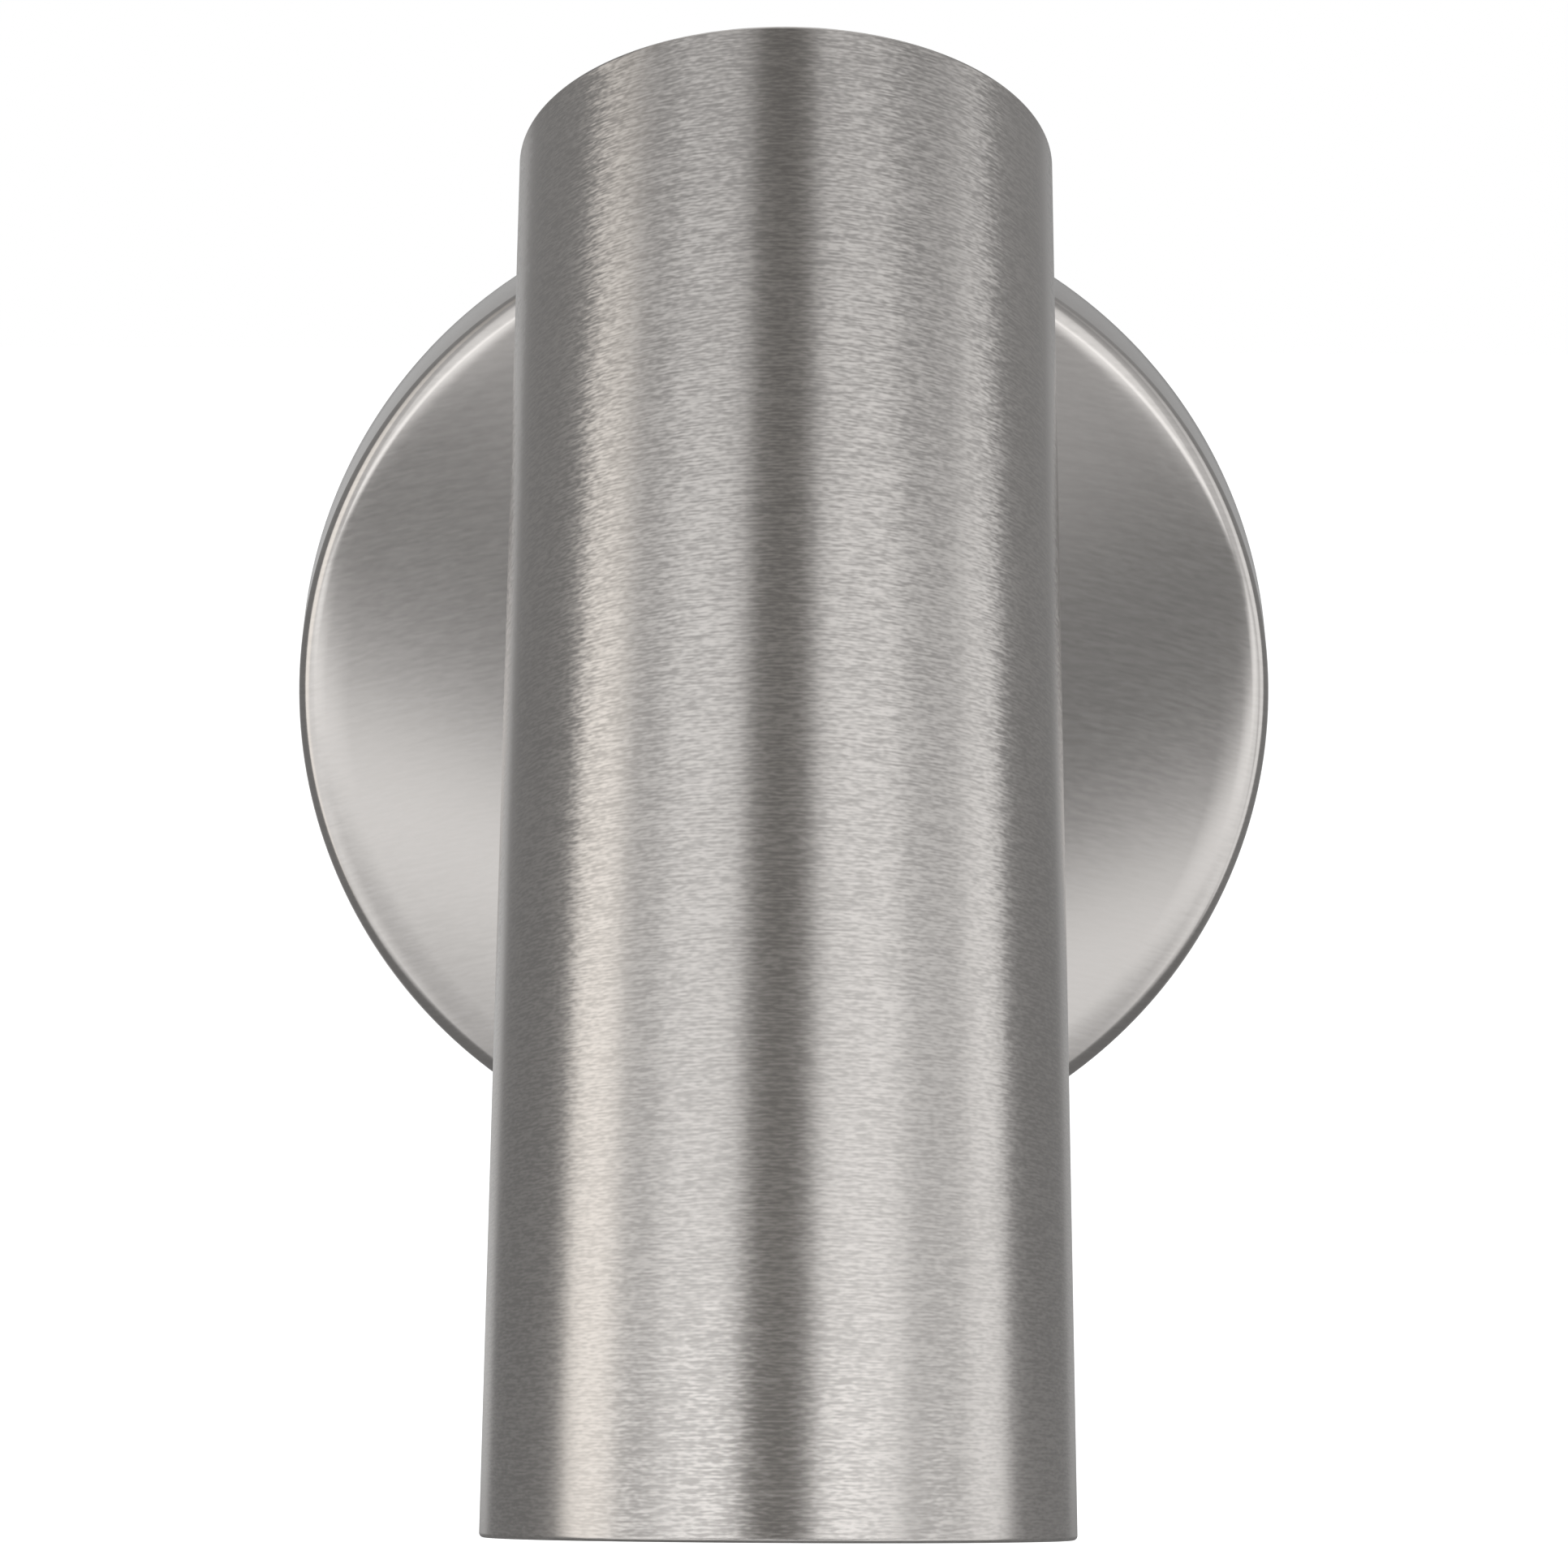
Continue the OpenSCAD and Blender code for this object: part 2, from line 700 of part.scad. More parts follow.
module lamp_lens() {
    color("aliceblue") in_head() translate([0, 0, lamp_z + lens_recess])
        cylinder(r = lens_d / 2 - run_gap, h = lens_t);
}

// Vented cap pressed into the tube's upper end
module end_cap() {
    cap_r = shade_in_r - run_gap;
    vent_w = 2.4;
    vent_in = 9;
    vent_rim = 4;
    vent_l = cap_r - cap_t - vent_rim - vent_in;
    color(nickel) in_head() translate([0, 0, shade_l - cap_recess - cap_h]) difference() {
        cylinder(r = cap_r, h = cap_h);
        translate([0, 0, -cut]) cylinder(r = cap_r - cap_t, h = cap_h - cap_t + cut);
        for (i = [0 : vent_count - 1]) rotate([0, 0, i * 360 / vent_count])
            translate([vent_in, -vent_w / 2, cap_h - cap_t - cut]) {
                cube([vent_l, vent_w, cap_t + 2 * cut]);
                for (end = [0, vent_l])
                    translate([end, vent_w / 2, 0]) cylinder(d = vent_w, h = cap_t + 2 * cut);
            }
    }
}

// Lead from the lampholder up, through the neck and into the knuckle's hollow.
// up_side puts it below (-1) or above (1) the middle of the wire way.
module head_lead(up_side) {
    start_y = -up_side * 2;
    lead_z = neck_up + up_side * lead_apart;
    run_end = head_offset - lead_cross - knuckle_bend;
    start_z = plate_z - lead_hole_depth;
    in_head() {
        translate([lead_side, start_y, start_z]) straight(lead_z - head_bend - start_z);
        translate([lead_side, start_y, lead_z - head_bend]) rotate([0, 0, 90]) bend(head_bend);
        translate([lead_side, start_y + head_bend, lead_z]) rotate([-90, 0, 0])
            straight(run_end - start_y - head_bend);
        translate([lead_side, run_end, lead_z]) rotate([-90, 0, 0]) rotate([0, 0, 180])
            bend(knuckle_bend);
    }
}
// Lead from the knuckle's hollow down the stem to its tail
module stem_lead(up_side) {
    run_end = pivot_out - lead_cross - knuckle_bend;
    on_wall() translate([-lead_side, up_side * lead_apart, 0]) {
        translate([0, 0, tail_end]) straight(run_end - tail_end);
        translate([0, 0, run_end]) bend(knuckle_bend);
    }
}
// Lead from the stem's tail to a connector on one side
module base_lead(side, up_side) {
    reach = connector_from + lead_into_connector + side * lead_side - base_bend;
    on_wall() translate([-lead_side, up_side * lead_apart, tail_end - base_lead_gap])
        rotate([180, 0, side > 0 ? 0 : 180]) {
            bend(base_bend);
            translate([base_bend, 0, base_bend]) along_x() straight(reach);
        }
}
module line_lead_base() {
    color("black") base_lead(-1, 1);
}
module neutral_lead_base() {
    color(white) base_lead(1, -1);
}
module line_lead_stem() {
    color("black") stem_lead(1);
}
module neutral_lead_stem() {
    color(white) stem_lead(-1);
}
module line_lead_head() {
    color("black") head_lead(-1);
}
module neutral_lead_head() {
    color(white) head_lead(1);
}
// Ring terminal under the ground screw's head, and its lead
module ground_lead() {
    ring_out_r = stud_d / 2 + 1.4;
    lap = 0.5;
    color("green") on_wall() translate([0, ground_up, 0]) {
        translate([0, 0, bar_t]) ring(ring_out_r, stud_d / 2 + run_gap, terminal_t);
        translate([lap - ring_out_r, 0, ground_lead_out]) rotate([0, -90, 0])
            straight(connector_from + ground_into_connector - ring_out_r + lap);
    }
}
// Twist-on connectors that lie in the canopy's hollow
module connector() {
    taper = (connector_bore_r - connector_grip_r) / connector_bore_l;
    wing_out = connector_r + 1;
    wing_t = 1.6;
    wing_l = 6;
    difference() {
        union() {
            cylinder(r1 = connector_r, r2 = connector_tip_r, h = connector_l);
            translate([-wing_out, -wing_t / 2, 0]) cube([2 * wing_out, wing_t, wing_l]);
        }
        translate([0, 0, -cut]) cylinder(
            r1 = connector_bore_r + taper * cut,
            r2 = connector_grip_r,
            h = connector_bore_l + cut
        );
    }
}
module wire_connectors() {
    color("orange") on_wall() for (place = [[-1, lead_apart], [1, -lead_apart], [-1, ground_up]])
        translate([place[0] * connector_from, place[1], connector_out])
            rotate([0, place[0] * 90, 0]) rotate([0, 0, 90]) connector();
}

mounting_bar();
ground_screw();
canopy();
canopy_studs();
stud_nuts();
cap_nuts();
swivel_bush();
friction_washer();
stop_pin();
line_lead_base();
neutral_lead_base();
ground_lead();
wire_connectors();
arm_stem();
disc_spring();
swivel_washer();
swivel_nut();
stem_knuckle();
knuckle_disc();
knuckle_screw();
spring_washer();
knuckle_nut();
line_lead_stem();
neutral_lead_stem();
head_knuckle();
saddle_washer();
shade_tube();
neck_washer();
neck_nut();
socket_bracket();
lamp_socket();
socket_screws();
lamp_base();
lamp_pins();
lamp_housing();
lamp_lens();
end_cap();
line_lead_head();
neutral_lead_head();
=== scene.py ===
"""Wall spot lamp: a brushed tube head on a short swivel stem, in front of a round canopy."""
import math

import bmesh
import bpy
from mathutils import Matrix, Vector


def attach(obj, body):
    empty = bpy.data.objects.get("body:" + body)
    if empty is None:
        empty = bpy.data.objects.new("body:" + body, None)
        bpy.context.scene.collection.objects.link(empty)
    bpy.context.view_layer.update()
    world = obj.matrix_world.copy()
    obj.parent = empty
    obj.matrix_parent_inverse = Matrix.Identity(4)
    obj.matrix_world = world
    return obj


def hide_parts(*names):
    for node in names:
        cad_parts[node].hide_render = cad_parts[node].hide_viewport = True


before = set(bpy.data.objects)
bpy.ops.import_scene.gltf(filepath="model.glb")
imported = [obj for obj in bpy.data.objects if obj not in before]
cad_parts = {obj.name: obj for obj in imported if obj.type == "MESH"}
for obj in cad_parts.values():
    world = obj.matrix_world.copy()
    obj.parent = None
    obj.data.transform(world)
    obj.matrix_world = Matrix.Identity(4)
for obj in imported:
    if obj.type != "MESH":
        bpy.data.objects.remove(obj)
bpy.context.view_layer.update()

MM = 0.001
FLOOR_Z = -0.42


def at(x, y, z):
    """Placement moved by x, y and z in mm."""
    return Matrix.Translation((x * MM, y * MM, z * MM))


def spin(degrees, axis):
    return Matrix.Rotation(math.radians(degrees), 4, axis)


# Sizes of the CAD model in mm.
TUBE_R, TUBE_BORE_R, TUBE_LENGTH = 28.5, 27.3, 143
TILT = 30              # degrees that the tube leans
PIVOT_OUT = 42.1       # the tilt axis, from the wall
NECK_OUT = 41.5        # the tube's axis, from the tilt axis
NECK_UP = 88.4         # the neck, from the tube's lower end
CANOPY_R, CANOPY_FRONT = 65, 15.2
CANOPY_BORE_R, CANOPY_BACK = 63.8, 14
CANOPY_DRAFT = math.tan(math.radians(9))
STUD_OFF, SLOT_OFF = 27, 41.65     # above and below the canopy's centre
GROUND_UP, STOP_UP = 14, 10.4
M3, M3_PITCH, M3_HOLE = 1.5, 0.5, 1.55
M4, M4_PITCH, M4_HOLE = 2, 0.7, 2.05
M10, M10_PITCH, M10_HOLE = 5, 1, 5.05
NECK_HOLE = 5.3
WAY_R = 3.25           # the leads' way through stem and knuckle
LEAD_R = 0.85
STEM_R = 7
FLANGE_R, FLANGE_BACK, FLANGE_FRONT = 13, 15.4, 18.4
STEM_THREADS = ((6.7, 15.9), (26.7, 31.2))
NECK_THREAD = (12, 23.81)
NECK_NUT_TOP, NECK_NUT_FOOT = 21.89, 18.89
DRUM_R, DRUM_GAP, DRUM_FACE = 9, 0.4, 9.5
DISC_TOP = 0.35
NUT_FACE, WASHER_FACE, SCREW_SEAT = -7.9, 8.3, 9.3      # along the tilt axis
# Heights up the tube.
LENS_FRONT, LENS_BACK = 16.2, 17.8
LAMP_NECK, BASE_TOP = 48.2, 62.2
HOLDER_FOOT, HOLDER_TOP, PLATE_TOP = 62.4, 78.4, 79.9
SCREW_OFF = 8.6        # the lampholder's screws, from the tube's axis
CAP_INNER, CAP_TOP = 139.8, 141

# Placements. WALL: local z points out of the wall. HEAD: local z runs up the tube. SIDE lays an outline
# in the plane of local y and z.
WALL = spin(90, "X")
STUDS = [WALL @ at(0, s * STUD_OFF, 0) for s in (-1, 1)]
GROUND = WALL @ at(0, GROUND_UP, 0)
STOP = WALL @ at(0, STOP_UP, 0)
PIVOT = at(0, -PIVOT_OUT, 0)
KNUCKLE = PIVOT @ spin(90, "Y")
STEM_ROD = PIVOT @ spin(-90, "X")
HEAD = PIVOT @ spin(-TILT, "X") @ at(0, -NECK_OUT, -NECK_UP)
HEAD_PIVOT = HEAD @ at(0, NECK_OUT, NECK_UP)
HEAD_KNUCKLE = HEAD_PIVOT @ spin(90, "Y")
HEAD_ROD = HEAD_PIVOT @ spin(90, "X")
NECK = HEAD @ at(0, 0, NECK_UP) @ spin(-90, "X")
HOLDER_WAY = HEAD @ at(1.5, 0, 0)
HOLDER_SCREWS = [HEAD @ at(s * SCREW_OFF, 0, 0) for s in (-1, 1)]
SIDE = Matrix(((0, 0, 1, 0), (1, 0, 0, 0), (0, 1, 0, 0), (0, 0, 0, 1)))

# Mesh code.
ARC_STEP = math.radians(15)
ON_AXIS = 1e-6
SHARP = 35             # degrees from which an edge is shaded sharp
SOFTEN_FROM = 40       # degrees from which soften() rounds an edge
LEAD_SIDES = 24
THREAD_STEPS = 6       # rows of vertices in one pitch


def arc_points(corner, before, after, radius):
    """Points of a rounded corner of a polygon."""
    c, a, b = Vector(corner), Vector(before), Vector(after)
    u, v = (a - c).normalized(), (b - c).normalized()
    angle = u.angle(v)
    reach = min(radius / math.tan(angle / 2), (a - c).length * 0.999, (b - c).length * 0.999)
    radius = reach * math.tan(angle / 2)
    centre = c + (u + v).normalized() * (radius / math.sin(angle / 2))
    first, last = c + u * reach - centre, c + v * reach - centre
    turn = math.pi - angle
    steps = max(2, math.ceil(turn / ARC_STEP))
    parts = [turn * i / steps for i in range(steps + 1)]
    return [centre + (first * math.sin(turn - t) + last * math.sin(t)) / math.sin(turn) for t in parts]


def rounded(points, dims=2):
    """Points of a closed outline, or of a path when dims is 3.

    One number more makes a point a corner of that radius.
    """
    out = []
    for i, p in enumerate(points):
        if len(p) > dims:
            before, after = points[i - 1], points[(i + 1) % len(points)]
            out += arc_points(p[:dims], before[:dims], after[:dims], p[dims])
        else:
            out.append(Vector(p))
    return out


def shade(o, smooth=SHARP):
    o.data.shade_smooth()
    o.data.set_sharp_from_angle(angle=math.radians(smooth))


def new_object(name, bm, place, smooth=SHARP):
    bmesh.ops.recalc_face_normals(bm, faces=bm.faces)
    mesh = bpy.data.meshes.new(name)
    bm.to_mesh(mesh)
    bm.free()
    o = bpy.data.objects.new(name, mesh)
    bpy.context.scene.collection.objects.link(o)
    o.matrix_world = place
    shade(o, smooth)
    return o


def skin(bm, rings, around=True, along=True):
    """Faces between rings of vertices.

    around closes each ring, and along joins the last ring to the first.
    """
    for k in range(len(rings) if along else len(rings) - 1):
        ring, other = rings[k], rings[(k + 1) % len(rings)]
        for i in range(len(ring) if around else len(ring) - 1):
            j = (i + 1) % len(ring)
            loop = []
            for v in (ring[i], ring[j], other[j], other[i]):
                if v not in loop:
                    loop.append(v)
            if len(loop) > 2:
                bm.faces.new(loop)


def lathe(name, outline, place, segments=160, span=None):
    """Revolves a closed (radius, height) outline in mm round local z, or over a span of degrees."""
    bm = bmesh.new()
    start, end = span or (0, 360)
    count = segments + 1 if span else segments
    angles = [math.radians(start + (end - start) * i / segments) for i in range(count)]
    rings = []
    for p in rounded(outline):
        r, z = p.x * MM, p.y * MM
        if p.x < ON_AXIS:
            rings.append([bm.verts.new((0, 0, z))] * count)
        else:
            rings.append([bm.verts.new((r * math.cos(a), r * math.sin(a), z)) for a in angles])
    skin(bm, rings, not span)
    if span:
        for k in (0, -1):
            bm.faces.new([ring[k] for ring in rings])
    return new_object(name, bm, place)


def prism(name, outline, z0, z1, place):
    """A closed (x, y) outline in mm, extruded along local z."""
    bm = bmesh.new()
    points = rounded(outline)
    low, high = ([bm.verts.new((p.x * MM, p.y * MM, z * MM)) for p in points] for z in (z0, z1))
    skin(bm, [low, high], True, False)
    bm.faces.new(low)
    bm.faces.new(high)
    return new_object(name, bm, place)


def box(x, y):
    """Outline of a rectangle between two x and two y values."""
    return [(x[0], y[0]), (x[1], y[0]), (x[1], y[1]), (x[0], y[1])]


def slot_shape(x, y, radius):
    """Outline of a rectangle between two x and two y values, with round corners."""
    return [(*p, radius) for p in box(x, y)]


def sweep(name, path, radius, place):
    """A round lead in mm along a path."""
    bm = bmesh.new()
    points = rounded(path, 3)
    along = (points[1] - points[0]).normalized()
    out = along.orthogonal().normalized()
    turns = [2 * math.pi * k / LEAD_SIDES for k in range(LEAD_SIDES)]
    rings = []
    for i, p in enumerate(points):
        ahead = (points[min(i + 1, len(points) - 1)] - points[max(i - 1, 0)]).normalized()
        out = (along.rotation_difference(ahead) @ out).normalized()
        along = ahead
        side = along.cross(out)
        ring = [p + (out * math.cos(t) + side * math.sin(t)) * radius for t in turns]
        rings.append([bm.verts.new(v * MM) for v in ring])
    skin(bm, rings, True, False)
    for k in (0, -1):
        bm.faces.new(rings[k])
    return new_object(name, bm, place)


def grooved(radius, z0, z1, pitch):
    """Outline points up a side that gets a thread."""
    count = max(2, round((z1 - z0) / pitch * THREAD_STEPS))
    return [(radius, z0 + (z1 - z0) * i / count) for i in range(count + 1)]


def polar(v):
    """Radius and height of a vertex in mm."""
    return math.hypot(v.co.x, v.co.y) / MM, v.co.z / MM


def pull_in(v, r, depth):
    """Moves a vertex at radius r towards local z by depth, in mm."""
    scale = 1 - depth / r
    v.co.x *= scale
    v.co.y *= scale


def cut_thread(o, radius, z0, z1, pitch, depth):
    """Turns the side made by grooved() into a helical thread that fades out at both ends."""
    near = 1e-3
    for v in o.data.vertices:
        r, z = polar(v)
        if abs(r - radius) < near and z0 - near < z < z1 + near:
            wave = 0.5 - 0.5 * math.cos(2 * math.pi * z / pitch - math.atan2(v.co.y, v.co.x))
            fade = min(1, (z - z0) / pitch, (z1 - z) / pitch)
            pull_in(v, r, depth * wave * max(0, fade))
    o.data.update()
    return o


def flute(o, count, depth, low, high, inner):
    """Flutes on the side between two heights, outside a radius."""
    for v in o.data.vertices:
        r, z = polar(v)
        if r > inner and low < z < high:
            pull_in(v, r, depth * (0.5 - 0.5 * math.cos(count * math.atan2(v.co.y, v.co.x))))
    o.data.update()
    return o


def join(name, place, *parts):
    bm = bmesh.new()
    for o in parts:
        o.data.transform(place.inverted() @ o.matrix_world)
        bm.from_mesh(o.data)
        bpy.data.objects.remove(o)
    return new_object(name, bm, place)


def apply_modifiers(o):
    bpy.context.view_layer.update()
    mesh = bpy.data.meshes.new_from_object(o.evaluated_get(bpy.context.evaluated_depsgraph_get()))
    o.modifiers.clear()
    o.data = mesh


def soften(o, width):
    """Rounds the sharp edges, width in mm."""
    m = o.modifiers.new("bevel", "BEVEL")
    m.width, m.segments, m.angle_limit = width * MM, 2, math.radians(SOFTEN_FROM)
    m.limit_method = "ANGLE"
    m.use_clamp_overlap = True
    apply_modifiers(o)
    shade(o)
    return o


def carve(o, *cutters, operation="DIFFERENCE"):
    for c in cutters:
        m = o.modifiers.new("carve", "BOOLEAN")
        m.operation = operation
        m.solver = "EXACT"
        m.object = c
        apply_modifiers(o)
        bpy.data.objects.remove(c)
    shade(o)
    return o


def rod(radius, z0, z1, place, segments=64):
    """A plain cylinder in mm, for cutting."""
    return lathe("cutter", [(0, z0), (radius, z0), (radius, z1), (0, z1)], place, segments)


def cut_shape(outline, z0, z1, place):
    return prism("cutter", outline, z0, z1, place)


def hexagon(across):
    corner = across / 2 / math.cos(math.pi / 6)
    turns = [math.radians(a) for a in range(0, 360, 60)]
    return [(corner * math.cos(t), corner * math.sin(t)) for t in turns]


def hex_nut(name, across, hole, z0, z1, place):
    """Hexagon nut with chamfered corners and a countersunk hole."""
    reach = across / 2 / math.cos(math.pi / 6) + 0.2
    flat, lead_in = across * 0.48, 0.35
    rise = (reach - flat) * math.tan(math.radians(30))
    turned = lathe("cutter", [
        (hole, z0 + lead_in), (hole + lead_in, z0), (flat, z0), (reach, z0 + rise),
        (reach, z1 - rise), (flat, z1), (hole + lead_in, z1), (hole, z1 - lead_in)], place, 96)
    return carve(prism(name, hexagon(across), z0, z1, place), turned, operation="INTERSECT")


def washer(name, hole, radius, z0, z1, place, edge=0.15):
    return lathe(name, [(*p, edge) for p in box((hole, radius), (z0, z1))], place, 96)


# Materials.
class Paint:
    """Builds one procedural material."""

    def __init__(self, name):
        self.material = bpy.data.materials.new(name)
        self.material.use_nodes = True
        self.tree = self.material.node_tree
        self.tree.nodes.clear()
        self.shader = self.node("ShaderNodeBsdfPrincipled")
        out = self.node("ShaderNodeOutputMaterial")
        self.link(self.shader.outputs[0], out.inputs["Surface"])
        self.object = self.node("ShaderNodeTexCoord").outputs["Object"]

    def node(self, kind, **settings):
        n = self.tree.nodes.new(kind)
        for key, value in settings.items():
            setattr(n, key, value)
        return n

    def link(self, a, b):
        self.tree.links.new(a, b)

    def feed(self, socket, value):
        if isinstance(value, bpy.types.NodeSocket):
            self.link(value, socket)
        else:
            socket.default_value = value

    def set(self, **sockets):
        for key, value in sockets.items():
            self.feed(self.shader.inputs[key.replace("_", " ")], value)

    def math(self, operation, a, b=0.0):
        n = self.node("ShaderNodeMath", operation=operation)
        self.feed(n.inputs[0], a)
        self.feed(n.inputs[1], b)
        return n.outputs[0]

    def add(self, a, b):
        return self.math("ADD", a, b)

    def times(self, a, b):
        return self.math("MULTIPLY", a, b)

    def span(self, value, low, high, to_low=0.0, to_high=1.0):
        n = self.node("ShaderNodeMapRange")
        self.feed(n.inputs[0], value)
        for i, v in enumerate((low, high, to_low, to_high), 1):
            n.inputs[i].default_value = v
        return n.outputs[0]

    def mix(self, factor, dark, light):
        n = self.node("ShaderNodeMix", data_type="RGBA")
        self.feed(n.inputs[0], factor)
        n.inputs[6].default_value = (*dark, 1)
        n.inputs[7].default_value = (*light, 1)
        return n.outputs[2]

    def vector(self, operation, a, b=None):
        n = self.node("ShaderNodeVectorMath", operation=operation)
        self.link(a, n.inputs[0])
        if b is not None:
            self.link(b, n.inputs["Scale" if operation == "SCALE" else 1])
        return n.outputs[0]

    def mapping(self, scale, turn=(0, 0, 0), vector=None):
        n = self.node("ShaderNodeMapping")
        self.link(vector or self.object, n.inputs["Vector"])
        n.inputs["Rotation"].default_value = [math.radians(a) for a in turn]
        n.inputs["Scale"].default_value = scale
        return n.outputs[0]

    def noise(self, vector, detail, roughness=0.5):
        n = self.node("ShaderNodeTexNoise")
        self.link(vector, n.inputs["Vector"])
        for key, value in (("Scale", 1.0), ("Detail", detail), ("Roughness", roughness)):
            n.inputs[key].default_value = value
        return n.outputs["Fac"]

    def split(self):
        parts = self.node("ShaderNodeSeparateXYZ")
        self.link(self.object, parts.inputs[0])
        return parts.outputs

    def joined(self, *sockets):
        n = self.node("ShaderNodeCombineXYZ")
        for i, value in enumerate(sockets):
            self.feed(n.inputs[i], value)
        return n.outputs[0]

    def bent(self, bow):
        """Object coordinates whose y lines are arcs."""
        x, y, z = self.split()
        return self.joined(x, self.add(y, self.times(self.times(x, x), bow)), z)

    def rings(self, scale, around):
        """Noise drawn out round local z, as a lathe or a spinning wheel leaves it."""
        x, y, z = self.split()
        r = self.math("SQRT", self.add(self.times(x, x), self.times(y, y)))
        r = self.math("MAXIMUM", r, 1e-5)
        cos, sin = (self.times(self.math("DIVIDE", v, r), around) for v in (x, y))
        n = self.node("ShaderNodeTexNoise", noise_dimensions="4D")
        self.link(self.joined(cos, sin, self.times(z, scale)), n.inputs["Vector"])
        self.link(self.times(r, scale), n.inputs["W"])
        n.inputs["Scale"].default_value, n.inputs["Detail"].default_value = 1.0, 2.0
        return n.outputs["Fac"]

    def leaning(self, field, amount):
        """The normal, leaned along local z where field, from 0 to 1, differs from its middle."""
        axis = self.node("ShaderNodeVectorTransform", vector_type="VECTOR",
                         convert_from="OBJECT", convert_to="WORLD")
        axis.inputs[0].default_value = (0, 0, 1)
        reach = self.times(self.math("SUBTRACT", field, 0.5), amount)
        lean = self.vector("SCALE", axis.outputs[0], reach)
        normal = self.node("ShaderNodeNewGeometry").outputs["Normal"]
        return self.vector("NORMALIZE", self.vector("ADD", normal, lean))

    def bump(self, height, distance, normal=None):
        n = self.node("ShaderNodeBump")
        self.link(height, n.inputs["Height"])
        n.inputs["Distance"].default_value = distance
        n.inputs["Strength"].default_value = 1.0
        if normal is not None:
            self.link(normal, n.inputs["Normal"])
        self.link(n.outputs[0], self.shader.inputs["Normal"])


def strokes(p, layers, bow=0.0, detail=1.0):
    """Short fine brush strokes. Each layer is (scale, turn, weight). bow bends them into arcs."""
    where = p.bent(bow) if bow else p.object
    total = None
    for scale, turn, weight in layers:
        n = p.times(p.noise(p.mapping(scale, turn, where), detail), weight)
        total = n if total is None else p.add(total, n)
    return total


FIELD_LOW, FIELD_HIGH = 0.38, 0.62     # where a brushed field is fully dark and fully light


def brushed(name, pattern, dark, light, rough, metal_axis, anisotropic, turn, bump, lean=0.0):
    """Nickel whose tone, gloss and bump follow pattern(paint), a field from 0 to 1.

    With lean, the strokes lean along local z as well.
    """
    p = Paint(name)
    total = pattern(p)
    cloud = p.noise(p.mapping((60, 60, 60)), 3.0)
    tone = p.add(total, p.times(p.math("SUBTRACT", cloud, 0.5), 0.15))
    p.set(Base_Color=p.mix(p.span(tone, FIELD_LOW, FIELD_HIGH), dark, light), Metallic=1.0,
          Roughness=p.span(total, FIELD_LOW, FIELD_HIGH, *rough),
          Anisotropic=anisotropic, Anisotropic_Rotation=turn)
    tangent = p.node("ShaderNodeTangent", direction_type="RADIAL", axis=metal_axis)
    p.link(tangent.outputs[0], p.shader.inputs["Tangent"])
    p.bump(total, bump, p.leaning(total, lean) if lean else None)
    return p.material


def plain_paint(name, colour, spread, rough, metallic=0.0, grain=(900, 900, 900), bump=3e-6,
                light=None, **sockets):
    """A surface with a cloudy tone, a fine grain and a gloss that varies.

    spread is how far the tone strays from colour, or from light where it is light.
    """
    p = Paint(name)
    cloud = p.noise(p.mapping((110, 110, 110)), 4.0, 0.55)
    fine = p.noise(p.mapping(grain), 3.0, 0.6)
    tone = p.add(p.times(cloud, 0.55), p.times(fine, 0.45))
    low = tuple(c * (1 - spread) for c in colour)
    high = tuple(min(1, c * (1 + spread)) for c in light or colour)
    p.set(Base_Color=p.mix(p.span(tone, 0.36, 0.64), low, high), Metallic=metallic,
          Roughness=p.span(fine, 0.3, 0.7, *rough), **sockets)
    p.bump(fine, bump)
    return p.material


def lens_glass():
    """Milky lens with a faint haze."""
    p = Paint("lens_glass")
    haze = p.noise(p.mapping((90, 90, 90)), 3.0)
    grain = p.noise(p.mapping((1600, 1600, 1600)), 2.0)
    p.set(Base_Color=p.mix(p.span(haze, 0.35, 0.65), (0.86, 0.88, 0.89), (0.92, 0.93, 0.94)),
          Roughness=p.span(grain, 0.35, 0.65, 0.22, 0.34), Subsurface_Weight=0.3, IOR=1.49,
          Coat_Weight=0.5, Coat_Roughness=0.08)
    p.shader.inputs["Subsurface Radius"].default_value = (0.002, 0.002, 0.002)
    p.bump(grain, 1e-6)
    return p.material


# Brush strokes: (scale per metre along local x, y and z), (turn in degrees), weight.
TUBE_LAYERS = [((700, 700, 5200), (1, 1.5, 0), 0.4), ((1600, 1600, 4700), (-2, 1, 0), 0.35),
               ((260, 260, 4400), (1, -2, 0), 0.25)]
PLATE_LAYERS = [((700, 2200, 500), (0, 0, 2), 0.4), ((260, 1500, 200), (0, 0, -3), 0.35),
                ((60, 1200, 60), (0, 0, 1), 0.25)]
nickel_tube = brushed(
    "brushed_nickel_tube", lambda p: strokes(p, TUBE_LAYERS, detail=0.0),
    dark=(0.565, 0.542, 0.522), light=(0.711, 0.682, 0.657), rough=(0.232, 0.248),
    metal_axis="Z", anisotropic=0.2, turn=0.25, bump=5e-7, lean=-0.45)
nickel_plate = brushed(
    "brushed_nickel_plate", lambda p: strokes(p, PLATE_LAYERS, bow=2.5),
    dark=(0.62, 0.596, 0.576), light=(0.668, 0.642, 0.622), rough=(0.14, 0.155),
    metal_axis="X", anisotropic=0.35, turn=0.0, bump=1e-7)
nickel_turned = brushed(
    "nickel_turned", lambda p: p.rings(scale=3200, around=2.5),
    dark=(0.585, 0.56, 0.54), light=(0.655, 0.63, 0.607), rough=(0.20, 0.27),
    metal_axis="Z", anisotropic=0.5, turn=0.25, bump=5e-6)
